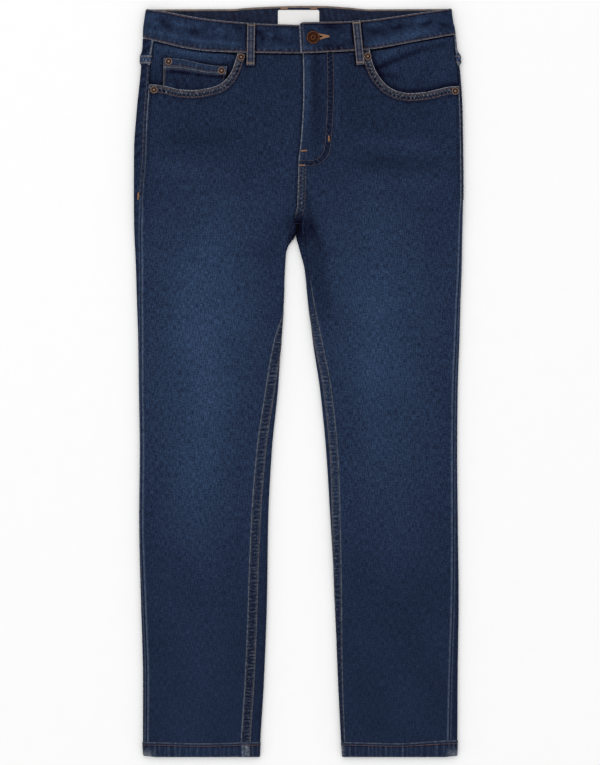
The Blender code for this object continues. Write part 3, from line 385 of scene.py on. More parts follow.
@dataclass(frozen=True)
class Denim:
    """Stretch denim: indigo warp over a white weft in a right-hand twill, garment washed.

    The warp is dyed only at its surface, so rubbing shows its pale core along edges and on
    ridges, and uneven yarns give fine streaks along the leg. Cotton has next to no gloss.
    """

    name: str
    deep: str = "#0f162b"
    faded: str = "#2e405d"
    worn: str = "#80868f"
    warp: tuple = (1.15, 7.5)  # a streak of uneven warp, drawn coarser than the 0.5 mm yarn
    weft: tuple = (6.0, 1.15)  # drawn coarser than the 0.6 mm yarn
    speckle: float = 1.3
    slub: float = 6.5
    cloud: float = 42.0
    rub: float = 4.2
    slubs: float = 0.22
    clouds: float = 0.22
    twill: float = 1.7  # ribs of the twill, drawn coarser than the real 0.9 mm
    streaks: float = 1.9
    relief: float = 0.00022

    def make(self) -> bpy.types.Material:
        """Returns: the material. It reads the cloth UV map, the wear attribute and fade, fade with painted
        shade.
        """
        made, add = new_material(self.name, self.faded)
        cut = add("ShaderNodeUVMap", uv_map="cloth")["UV"]
        fade, wear = (add("ShaderNodeAttribute", attribute_name=name)["Fac"] for name in ("fade", "wear"))
        fields = {}
        for name, (width, length), detail in (("warp", self.warp, 3.0), ("weft", self.weft, 2.0),
                ("speckle", (self.speckle, self.speckle), 2.0), ("slub", (self.slub, self.slub * 1.5), 1.0),
                ("cloud", (self.cloud, self.cloud * 1.6), 2.0), ("rub", (self.rub, self.rub), 3.0)):
            scale = (1 / (width * MM), 1 / (length * MM), 1.0)
            scaled = add("ShaderNodeMapping", {"Vector": cut, "Scale": scale})["Vector"]
            fields[name] = add("ShaderNodeTexNoise", {"Vector": scaled, "Scale": 1.0, "Detail": detail},
                noise_dimensions="2D")["Fac"]
        strengths = {"warp": self.streaks, "weft": self.streaks * 0.7, "speckle": self.streaks * 0.9,
            "slub": self.slubs, "cloud": self.clouds}
        uneven = -sum(strengths.values()) / 2
        for name, strength in strengths.items():
            uneven = add("ShaderNodeMath", (fields[name], strength, uneven), operation="MULTIPLY_ADD")[0]
        # Streaks show where the dye has gone: whole indigo is even, and so are the lower legs.
        along = add("ShaderNodeSeparateXYZ", (add("ShaderNodeTexCoord")["Object"],))["Y"]
        calm = add("ShaderNodeMapRange", (along, -0.42, -0.12, 0.6, 1.0))[0]
        gain = add("ShaderNodeMapRange", {0: fade, 3: 0.3, 4: 1.5}, clamp=False)[0]
        gain = add("ShaderNodeMath", (gain, calm), operation="MULTIPLY")[0]
        uneven = add("ShaderNodeMath", (uneven, -0.45, 0.25), operation="SMOOTH_MAX")[0]
        level = add("ShaderNodeMath", (uneven, gain, fade), operation="MULTIPLY_ADD")[0]
        indigo = add("ShaderNodeMix", {0: level, 6: linear(self.deep), 7: linear(self.faded)},
            data_type="RGBA", clamp_factor=False)[2]
        patch = add("ShaderNodeMapRange", (fields["rub"], 0.36, 0.62, 0.35, 1.0))[0]
        rubbed = add("ShaderNodeMath", (wear, patch), operation="MULTIPLY", use_clamp=True)[0]
        colour = add("ShaderNodeMix", {0: rubbed, 6: indigo, 7: linear(self.worn)}, data_type="RGBA")[2]
        twill = 2 * math.pi / 10 / (self.twill * MM)
        height = add("ShaderNodeTexWave", {"Vector": cut, "Scale": twill, "Distortion": 0.6},
            wave_type="BANDS", bands_direction="DIAGONAL")["Fac"]
        for name, strength in (("speckle", 1.4), ("warp", 1.2)):
            height = add("ShaderNodeMath", (fields[name], strength, height), operation="MULTIPLY_ADD")[0]
        bump = add("ShaderNodeBump", {"Strength": 0.8, "Distance": self.relief, "Height": height})[0]
        rough = add("ShaderNodeMapRange", (fields["speckle"], 0.3, 0.7, 0.82, 0.94))[0]
        return shaded(made, {"Base Color": colour, "Roughness": rough, "Normal": bump,
            "Specular IOR Level": 0.06, "Sheen Weight": 0.02, "Sheen Roughness": 0.5})


@dataclass(frozen=True)
class SpunThread:
    """Core-spun polyester sewing thread, twisted from three plies.

    The wash takes its colour unevenly, and the plies break the light into short soft glints.
    """

    name: str
    colour: str
    washed: str
    ply: float = 1.1
    patch: float = 14.0

    def make(self) -> bpy.types.Material:
        """Returns: the material. It reads Object coordinates."""
        made, add = new_material(self.name, self.colour)
        place = add("ShaderNodeTexCoord")["Object"]
        wash, plies = (add("ShaderNodeTexNoise", {"Vector": place, "Scale": 1 / (size * MM),
            "Detail": detail})["Fac"] for size, detail in ((self.patch, 3.0), (self.ply, 1.0)))
        spread = add("ShaderNodeMapRange", (wash, 0.38, 0.62, 0.0, 1.0))[0]
        colour = add("ShaderNodeMix", {0: spread, 6: linear(self.colour), 7: linear(self.washed)},
            data_type="RGBA")[2]
        bump = add("ShaderNodeBump", {"Strength": 0.6, "Distance": 0.0001, "Height": plies})[0]
        rough = add("ShaderNodeMapRange", (plies, 0.3, 0.7, 0.55, 0.75))[0]
        return shaded(made, {"Base Color": colour, "Roughness": rough, "Normal": bump,
            "Specular IOR Level": 0.25})


@dataclass(frozen=True)
class AntiqueCopper:
    """Stamped brass, copper plated and blackened, then tumbled.

    Tumbling brings the copper back on raised rims and leaves brown patina in the grooves.
    """

    name: str = "antique_copper_plate"
    patina: str = "#26150f"
    copper: str = "#5c3a28"
    stain: float = 2.4

    def make(self) -> bpy.types.Material:
        """Returns: the material. It reads the wear attribute and Object coordinates."""
        made, add = new_material(self.name, self.copper)
        place = add("ShaderNodeTexCoord")["Object"]
        wear = add("ShaderNodeAttribute", attribute_name="wear")["Fac"]
        stains = add("ShaderNodeTexNoise", {"Vector": place, "Scale": 1 / (self.stain * MM),
            "Detail": 4.0})["Fac"]
        uneven = add("ShaderNodeMapRange", (stains, 0.3, 0.7, 0.55, 1.15))[0]
        bare = add("ShaderNodeMath", (wear, uneven), operation="MULTIPLY", use_clamp=True)[0]
        colour = add("ShaderNodeMix", {0: bare, 6: linear(self.patina), 7: linear(self.copper)},
            data_type="RGBA")[2]
        rough = add("ShaderNodeMapRange", (bare, 0.0, 1.0, 0.62, 0.36))[0]
        bump = add("ShaderNodeBump", {"Strength": 0.5, "Distance": 0.00008, "Height": stains})[0]
        return shaded(made, {"Base Color": colour, "Roughness": rough, "Normal": bump, "Metallic": 1.0})


@dataclass(frozen=True)
class WovenTape:
    """Bleached polyester satin tape, woven with fine ribs across and cut with a hot knife.

    The close weave gives it a faint soft gloss and a flat bright white.
    """

    name: str = "bleached_satin_tape"
    colour: str = "#ecebea"
    shade: str = "#dedddc"
    rib: float = 1.0  # drawn coarser than the real 0.25 mm

    def make(self) -> bpy.types.Material:
        """Returns: the material. It reads the cloth UV map."""
        made, add = new_material(self.name, self.colour)
        cut = add("ShaderNodeUVMap", uv_map="cloth")["UV"]
        rib = 2 * math.pi / 20 / (self.rib * MM)
        ribs = add("ShaderNodeTexWave", {"Vector": cut, "Scale": rib, "Distortion": 0.4}, wave_type="BANDS",
            bands_direction="Y")["Fac"]
        colour = add("ShaderNodeMix", {0: ribs, 6: linear(self.shade), 7: linear(self.colour)},
            data_type="RGBA")[2]
        rough = add("ShaderNodeMapRange", (ribs, 0.0, 1.0, 0.62, 0.5))[0]
        bump = add("ShaderNodeBump", {"Strength": 0.5, "Distance": 0.00006, "Height": ribs})[0]
        return shaded(made, {"Base Color": colour, "Roughness": rough, "Normal": bump})


@dataclass(frozen=True)
class PaperSweep:
    """Matt white seamless paper: it takes soft shadows and has no gloss."""

    name: str = "matt_white_paper"
    colour: str = "#fafafa"

    def make(self) -> bpy.types.Material:
        """Returns: the material. Its tone varies a little over Object coordinates."""
        made, add = new_material(self.name, self.colour)
        place = add("ShaderNodeTexCoord")["Object"]
        pulp = add("ShaderNodeTexNoise", {"Vector": place, "Scale": 40.0, "Detail": 2.0})["Fac"]
        colour = add("ShaderNodeMix", {0: pulp, 6: linear("#f9f9f9"), 7: linear("#fbfbfb")},
            data_type="RGBA")[2]
        return shaded(made, {"Base Color": colour, "Roughness": 0.95, "Specular IOR Level": 0.0})


class Finish(Enum):
    """The finishes of the jeans."""

    DENIM = Denim("washed_indigo_twill")
    BAND_DENIM = Denim("unwashed_indigo_twill", streaks=1.5, cloud=11.0, clouds=0.5, worn="#85858d")
    RUST = SpunThread("rust_thread", "#6e5148", "#54484a")
    WASHED = SpunThread("washed_thread", "#575157", "#47444c")
    TAN = SpunThread("tan_thread", "#857468", "#68605c")
    ORANGE = SpunThread("amber_thread", "#9f7453", "#836652")
    WHITE = SpunThread("white_thread", "#dcdbd8", "#cfcecb")
    COPPER = AntiqueCopper()
    RIVET = AntiqueCopper("tumbled_copper_plate", patina="#3a2721", copper="#a08a7e")
    TAPE = WovenTape()
    PAPER = PaperSweep()

    def material(self) -> bpy.types.Material:
        """Returns: this finish's material, made the first time it is asked for."""
        return bpy.data.materials.get(self.value.name) or self.value.make()


# ---------------- meshes
def new_object(name: str, data: bpy.types.ID) -> bpy.types.Object:
    """Args: a name, and a mesh, light or camera. Returns: its object, in the scene."""
    made = bpy.data.objects.new(name, data)
    bpy.context.scene.collection.objects.link(made)
    return made


def add_mesh(name: str, points: Array, faces: list, finish: Finish, layers: dict[str, Array],
        cut: Array) -> bpy.types.Object:
    """One closed piece, turned to face outwards.

    Args:
        name: the piece's name.
        points: (n, 3) in millimetres.
        faces: index tuples, all wound the same way.
        finish: its finish.
        layers: a value for each point, by attribute name.
        cut: (n, 2) place of each point on the cloth, in millimetres.

    Returns:
        The object, at the origin.
    """
    used = np.unique(np.concatenate([np.asarray(face) for face in faces]))
    renumber = np.full(len(points), -1)
    renumber[used] = np.arange(len(used))
    faces = [tuple(int(i) for i in renumber[list(face)]) for face in faces]
    points, cut = points[used], cut[used]
    volume = 0.0
    for face in faces:
        a = points[face[0]]
        for b, c in zip(face[1:], face[2:]):
            volume += float(np.dot(a, np.cross(points[b], points[c])))
    if volume < 0:
        faces = [tuple(reversed(face)) for face in faces]
    mesh = bpy.data.meshes.new(name)
    mesh.from_pydata((points * MM).tolist(), [], faces)
    for layer, values in layers.items():
        made = mesh.attributes.new(layer, "FLOAT", "POINT")
        made.data.foreach_set("value", np.asarray(values, np.float32)[used])
    uv = mesh.uv_layers.new(name="cloth")
    corners = np.zeros(len(mesh.loops), np.int32)
    mesh.loops.foreach_get("vertex_index", corners)
    uv.data.foreach_set("uv", (cut[corners] * MM).astype(np.float32).ravel())
    mesh.materials.append(finish.material())
    mesh.shade_smooth()
    return new_object(name, mesh)


def add_shell(name: str, outer: Array, inner: Array, cut: Array, finish: Finish, fade: Array, wear: Array,
        keep: Array | None = None) -> bpy.types.Object:
    """A wall of cloth between two grids of points, closed by a rim.

    Args:
        name: the piece's name.
        outer: (rows, columns, 3) points of its outside.
        inner: the same of its inside.
        cut: (rows, columns, 2) places on the cloth.
        finish: its finish.
        fade: (rows, columns) how faded it is, with painted shade laid in.
        wear: (rows, columns) how rubbed it is.
        keep: (rows - 1, columns - 1) which cells there are, all by default.

    Returns:
        The object.
    """
    rows, columns = outer.shape[:2]
    under = rows * columns
    number = np.arange(under).reshape(rows, columns)
    rings = joined(number[:-1, :-1], number[:-1, 1:], number[1:, 1:], number[1:, :-1])
    rings = rings[np.ones(rings.shape[:2], bool) if keep is None else keep]
    faces = [tuple(ring) for ring in rings.tolist()]
    faces += [tuple(under + i for i in reversed(ring)) for ring in faces]
    edges = {edge for ring in rings.tolist() for edge in zip(ring, (*ring[1:], ring[0]))}
    faces += [(b, a, under + a, under + b) for a, b in edges if (b, a) not in edges]
    points = np.concatenate([outer.reshape(-1, 3), inner.reshape(-1, 3)])
    layers = {layer: np.tile(np.broadcast_to(values, (rows, columns)).ravel(), 2) for layer,
        values in (("fade", fade), ("wear", wear))}
    return add_mesh(name, points, faces, finish, layers, np.tile(cut.reshape(-1, 2), (2, 1)))


def add_loft(name: str, sections: Array, cut: Array, finish: Finish, fade: Array, wear: Array,
        closed: bool = False) -> bpy.types.Object:
    """A solid through closed sections, with flat ends unless it closes on itself.

    Args:
        name: the piece's name.
        sections: (stations, points, 3), each section a ring.
        cut: (stations, points, 2) places on the cloth.
        finish: its finish.
        fade: (stations, points) how faded it is, with painted shade laid in.
        wear: (stations, points) how rubbed it is.
        closed: whether the last section joins the first.

    Returns:
        The object.
    """
    stations, ring = sections.shape[:2]
    faces = []
    for i in range(stations if closed else stations - 1):
        after = (i + 1) % stations
        for j in range(ring):
            beside = (j + 1) % ring
            faces.append((i * ring + j, i * ring + beside, after * ring + beside, after * ring + j))
    if not closed:
        faces.append(tuple(reversed(range(ring))))
        faces.append(tuple(range((stations - 1) * ring, stations * ring)))
    layers = {layer: np.broadcast_to(values, (stations, ring)).ravel() for layer, values in (("fade", fade),
        ("wear", wear))}
    return add_mesh(name, sections.reshape(-1, 3), faces, finish, layers, cut.reshape(-1, 2))


def puckers(along: Array, pitch: float, seed: int) -> Array:
    """Gathers that a tight seam pulls into cloth, uneven in spacing and size.

    Args:
        along: distances along the seam.
        pitch: mean spacing.
        seed: fixed seed.

    Returns:
        A value from -1 in the hollows to 1 on the ridges.
    """
    chance = np.random.default_rng(seed)
    low, high = float(np.min(along)) - 3 * pitch, float(np.max(along)) + 3 * pitch
    count = int((high - low) / pitch) + 2
    gaps = chance.uniform(0.55, 1.45, count)
    places = low + np.cumsum(gaps) * pitch
    sizes = chance.uniform(0.25, 1.0, count)
    phase = np.interp(along, places, np.arange(count))
    size = np.interp(along, places, sizes)
    return size * np.cos(2 * math.pi * phase)


def ripple(x: Array, y: Array, scale: float, seed: int) -> Array:
    """Args: a place, the size of its waves, seed. Returns: uneven soft waves, about -1 to 1."""
    chance = np.random.default_rng(seed)
    total = np.zeros(np.broadcast(x, y).shape)
    for _ in range(7):
        turn, phase = chance.uniform(0, 2 * math.pi, 2)
        length = scale * chance.uniform(0.7, 1.9)
        total += np.sin(2 * math.pi * (x * math.cos(turn) + y * math.sin(turn)) / length + phase)
    return total / 3.0


def plain_copy(source: bpy.types.Object, name: str) -> bpy.types.Object:
    """Args: object with modifiers, and a name. Returns: its result; the source is removed."""
    graph = bpy.context.evaluated_depsgraph_get()
    mesh = bpy.data.meshes.new_from_object(source.evaluated_get(graph))
    mesh.name = name
    bpy.data.objects.remove(source)
    return new_object(name, mesh)


def new_tree(name: str, kinds: dict[str, str]) -> tuple[bpy.types.NodeTree, Callable, object]:
    """Args: name, and the kind of each input past the geometry. Returns: tree, add_node, inputs."""
    tree = bpy.data.node_groups.new(name, "GeometryNodeTree")
    tree.interface.new_socket("Geometry", in_out="OUTPUT", socket_type="NodeSocketGeometry")
    for socket, kind in {"Geometry": "Geometry", **kinds}.items():
        tree.interface.new_socket(socket, in_out="INPUT", socket_type=f"NodeSocket{kind}")
    add = partial(add_node, tree)
    return tree, add, add("NodeGroupInput")


def grown(name: str, tree: bpy.types.NodeTree, points: Array, edges: list, out: Array | None,
        values: dict) -> bpy.types.Object:
    """What a node tree makes of points.

    Args:
        name: name of the piece.
        tree: the node tree.
        points: (n, 3) in millimetres.
        edges: index pairs that join them.
        out: directions out of the cloth, where the tree reads them.
        values: the tree's inputs, by name.

    Returns:
        The piece, as a plain mesh.
    """
    mesh = bpy.data.meshes.new("paths")
    mesh.from_pydata((points * MM).tolist(), edges, [])
    if out is not None:
        attribute = mesh.attributes.new("out", "FLOAT_VECTOR", "POINT")
        attribute.data.foreach_set("vector", out.astype(np.float32).ravel())
    source = new_object("paths", mesh)
    modifier = source.modifiers.new("grown", "NODES")
    modifier.node_group = tree
    sockets = {item.name: item.identifier for item in tree.interface.items_tree
        if item.item_type == "SOCKET" and item.in_out == "INPUT"}
    for key, value in values.items():
        modifier[sockets[key]] = value
    return plain_copy(source, name)


# ---------------- stitching
class StitchKind(Enum):
    """How a machine lays its stitches: pitch, stitch length, thread radius and turn."""

    TOPSTITCH = (3.0, 3.4, 0.38, 0.0)
    FINE = (2.6, 2.5, 0.3, 0.0)
    EDGING = (1.3, 1.7, 0.6, 24.0)
    BARTACK = (0.62, 2.3, 0.36, 90.0)
    BUTTONHOLE = (0.55, 1.9, 0.32, 90.0)


@dataclass
class Stitching:
    """Every row of stitches, laid as grains of thread along paths on the cloth."""

    seed: int = 7
    rows: dict = field(default_factory=dict)

    def row(self, finish: Finish, points: Array, out: Array | None = None,
            kind: StitchKind = StitchKind.TOPSTITCH) -> None:
        """Args: thread, (n, 3) path, directions out of the cloth (up by default), kind."""
        if out is None:
            out = np.tile((0.0, 0.0, 1.0), (len(points), 1))
        lowest = np.where(out[:, 2] < -0.8, kind.value[2] - 0.15, -1.0)
        points = np.column_stack([points[:, :2], np.maximum(points[:, 2], lowest)])
        self.rows.setdefault((finish, kind), []).append((points, out))

    def on_form(self, finish: Finish, x: Array, y: Array, side: Side, raised: Array,
            kind: StitchKind = StitchKind.TOPSTITCH) -> None:
        """Args: thread, spread-out places, side, heights over the form, kind."""
        point, out = FORM.on_top(x, y, side)
        lifted = point + out * np.broadcast_to(np.asarray(raised, float), x.shape)[..., None]
        self.row(finish, lifted, out, kind)

    def bartack(self, finish: Finish, start: tuple, end: tuple) -> None:
        """Args: thread, and both ends of the bar, (x, y, z)."""
        self.row(finish, np.linspace(start, end, 4), None, StitchKind.BARTACK)

    def tree(self) -> bpy.types.NodeTree:
        """Returns: the node tree that turns paths into stitches."""
        tree, add, given = new_tree("stitch_rows", {"Pitch": "Float", "Stitch Length": "Float",
            "Thread Radius": "Float", "Turn": "Float", "Seed": "Int", "Thread": "Material"})
        path = add("GeometryNodeMeshToCurve", {"Mesh": given["Geometry"]})["Curve"]
        marks = add("GeometryNodeResampleCurve", {"Curve": path, "Length": given["Pitch"]}, mode="LENGTH")
        tangent = add("GeometryNodeInputTangent")["Tangent"]
        out = add("GeometryNodeInputNamedAttribute", {"Name": "out"}, data_type="FLOAT_VECTOR")["Attribute"]
        wobble = add("FunctionNodeRandomValue", {2: -0.1, 3: 0.1, "Seed": given["Seed"]},
            data_type="FLOAT")[1]
        angle = add("ShaderNodeMath", (given["Turn"], wobble), operation="ADD")[0]
        heading = add("ShaderNodeVectorRotate", {"Vector": tangent, "Axis": out, "Angle": angle},
            rotation_type="AXIS_ANGLE")["Vector"]
        aimed = add("FunctionNodeAlignRotationToVector", {"Vector": heading}, axis="Z")["Rotation"]
        half = add("ShaderNodeMath", (given["Stitch Length"], 0.5), operation="MULTIPLY")[0]
        thick = given["Thread Radius"]
        size = add("ShaderNodeCombineXYZ", (thick, thick, half))["Vector"]
        uneven = add("FunctionNodeRandomValue", {0: (0.88, 0.88, 0.86), 1: (1.1, 1.1, 1.06),
            "Seed": given["Seed"]}, data_type="FLOAT_VECTOR")[0]
        scaled = add("ShaderNodeVectorMath", (size, uneven), operation="MULTIPLY")["Vector"]
        grain = add("GeometryNodeMeshUVSphere", {"Segments": 6, "Rings": 4})["Mesh"]
        laid = add("GeometryNodeInstanceOnPoints", {"Points": marks["Curve"], "Instance": grain,
            "Rotation": aimed, "Scale": scaled})["Instances"]
        real = add("GeometryNodeRealizeInstances", {"Geometry": laid})["Geometry"]
        smooth = add("GeometryNodeSetShadeSmooth", {"Geometry": real})["Geometry"]
        dressed = add("GeometryNodeSetMaterial", {"Geometry": smooth, "Material": given["Thread"]})
        add("NodeGroupOutput", (dressed["Geometry"],))
        return tree

    def build(self) -> list[bpy.types.Object]:
        """Returns: one piece for each thread and kind of stitch."""
        tree, made = self.tree(), []
        for number, ((finish, kind), paths) in enumerate(self.rows.items()):
            points = np.concatenate([points for points, _ in paths])
            out = np.concatenate([out for _, out in paths])
            edges, start = [], 0
            for path, _ in paths:
                edges += [(start + i, start + i + 1) for i in range(len(path) - 1)]
                start += len(path)
            pitch, length, radius, turn = kind.value
            made.append(grown(f"{kind.name.lower()}_{finish.name.lower()}", tree, points, edges, out,
                {"Pitch": pitch * MM, "Stitch Length": length * MM, "Thread Radius": radius * MM,
                "Turn": math.radians(turn), "Seed": self.seed + number, "Thread": finish.material()}))
        return made


def declare(piece: bpy.types.Object, nodes: tuple = ()) -> None:
    """Says what a finished piece is to the frame.

    Args:
        piece: the piece.
        nodes: CAD nodes that it stands for.
    """
    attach(piece, "root")
    if nodes:
        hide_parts(*nodes)
    LOG.info("%s: %d faces", piece.name, len(piece.data.polygons))


# ---------------- wash and painted shade
@dataclass(frozen=True)
class Wash:
    """How the garment is faded, from 0 where the indigo is whole to 1 at the thighs.

    Each table gives y and the level down the middle of a leg or along its sides. Painted shade is laid
    into the same level at the side folds, at the crotch, beside the fly's edge and beside the front belt
    loops. Streaks are lighter fades or darker creases: x and y of both ends, width, strength; the darker
    ones on the legs that follow the troughs are painted shade in the creases.
    """

    middle: dict = sided(Curve([375, 295, 242, 189, 135, 82, 29, -25, -131, -185, -238, -291, -500],
        [0.26, 0.33, 0.48, 0.66, 0.82, 0.92, 0.84, 0.79, 0.69, 0.58, 0.42, 0.35, 0.33]),
        Curve([375, 295, 242, 189, 135, 29, -25, -78, -131, -185, -238, -291, -500], [0.22, 0.28, 0.46, 0.6,
        0.7, 0.76, 0.66, 0.58, 0.53, 0.48, 0.34, 0.28, 0.26]))
    sides: Curve = field(default_factory=lambda: Curve([375, 242, 135, -78, -185, -291, -500],
        [0.27, 0.37, 0.39, 0.39, 0.33, 0.27, 0.24]))
    streaks: tuple = ((60, 320, 196, 312, 10, 0.11), (60, 292, 200, 289, 9, -0.09),
        (58, 266, 200, 262, 10, 0.09), (-190, 284, -84, 276, 13, 0.1), (-190, 326, -80, 318, 11, -0.07),
        (-150, 250, -60, 236, 10, 0.06), (14, 208, 40, 74, 12, -0.22), (7, 262, 20, 196, 3.6, -0.2),
        (17, 214, 38, 158, 6.0, -0.16), (-14, 226, -46, 150, 13, -0.1), (-60, 330, -150, 318, 12, -0.04),
        (64, 60, 150, 84, 14, -0.05), (-70, 120, -150, 92, 14, -0.05), (-58, -40, -140, -74, 15, -0.07),
        (62, -62, 146, -30, 15, -0.05), (92, 60, 104, -120, 16, 0.07), (-128, 60, -122, -110, 18, 0.06),
        (56, -90, 64, -300, 9, 0.05), (-66, -60, -60, -300, 10, 0.06), (12, 450, 11.5, 352, 3.6, 0.26),
        (11, 372, 9, 318, 3.4, 0.14), (24, 460, 25, 300, 6.5, -0.26), (33, 356, 30, 304, 3.0, 0.26),
        (51, 450, 51, 330, 3.0, 0.16))
    loops: tuple = ((-63.0, 476.8, -64.0, 420.5), (76.6, 480.0, 82.4, 421.5))

    def front(self, x: Array, y: Array, side: Side) -> Array:
        """Args: spread-out places of the top face, and side. Returns: the level there."""
        outer, inner = FORM.folds(side, y)
        inner = mix(inner, side * 2.0, ramp(FORM.crotch_y - 40, FORM.crotch_y + 20, y))
        middle = (outer + inner) / 2 - 8.0
        half = np.abs(outer - inner) / 2
        across = np.exp(-(((x - middle) / (0.6 * half)) ** 2))
        level = mix(self.sides(y), self.middle[side](y), across)
        level += creased(x, y, self.streaks)
        # Painted shade: darker within a few millimetres of each side fold, where the cloth rolls away.
        near_fold = np.minimum(side * (outer - x), side * (x - inner) + 40 * (y > FORM.crotch_y))
        level -= 0.1 * ramp(4, -3, near_fold)
        # Painted shade: the crotch, where the two legs meet, is drawn nearly black.
        reach = np.where(x < 0, 13.0, 20.0)
        level -= 0.48 * np.exp(-((x / reach) ** 2) - (((y - 204) / 20) ** 2))
        # Painted shadow: a dark strip on the right front just left of the fly's edge.
        before_fly = FORM.front_edge(y) - x
        if side is Side.RIGHT:
            level -= 0.28 * ramp(4.5, 0.5, before_fly) * ramp(215, 240, y)
        return level + 0.02 * ripple(x, y, 60, 3)

    def beside_loops(self, x: Array, y: Array) -> Array:
        """Args: places. Returns: how much painted shade falls beside the front belt loops."""
        depth = 0.0
        # Painted shade round each loop's sides and below its lower end.
        for top_x, top_y, low_x, low_y in self.loops:
            middle = mix(low_x, top_x, (y - low_y) / (top_y - low_y))
            away = np.hypot(np.maximum(np.abs(x - middle) - 5.2, 0), np.maximum(low_y - y, 0))
            depth += 0.5 * ramp(4.4, 0.4, away)
        return depth

    def back(self, x: Array, y: Array) -> Array:
        """Args: places of the underside. Returns: the level there."""
        seat = 0.25 * np.exp(-(((np.abs(x) - 95) / 70) ** 2) - (((y - 300) / 90) ** 2))
        knee = 0.12 * np.exp(-(((np.abs(x) - 120) / 50) ** 2) - (((y + 60) / 160) ** 2))
        return 0.3 + seat + knee + 0.02 * ripple(x, y, 60, 5)


WASH_AND_SHADE = Wash()


# ---------------- panels
# The solids' gap at a seam, a wall of cloth, how far thread stands proud of it, and heights on the leg.
GAP = 0.3
CLOTH = 1.2
THREAD_PROUD = 0.12
COONS_Y = 340.0
PANEL_FOOT_Y = -484.0
SEAM_RAISED = 0.5
HEM_TOP_Y = -479.0


DOWN = np.array([0.0, -1.0])
BELOW = (0.0, 0.0, -1.0)


def edge_path(table: Array, along: Array, reach: float) -> tuple[Array, Array]:
    """The edge of a pocket opening.

    Args:
        table: (n, 2) places along the edge.
        along: distances along it.
        reach: how far to each side its direction is measured.

    Returns:
        Places at those distances, and the directions into the panel there.
    """
    curves = [Curve(lengths(table), table[:, axis]) for axis in (0, 1)]
    points, ahead, behind = (joined(*(curve(along + step) for curve in curves)) for step in (0.0, reach,
        -reach))
    tangent = unit(ahead - behind)
    into = joined(-tangent[:, 1], tangent[:, 0])
    into *= np.where(into[:, 1] < 0, 1.0, -1.0)[:, None]
    return points, mix(DOWN, into, ramp(0, 18, along)[:, None])


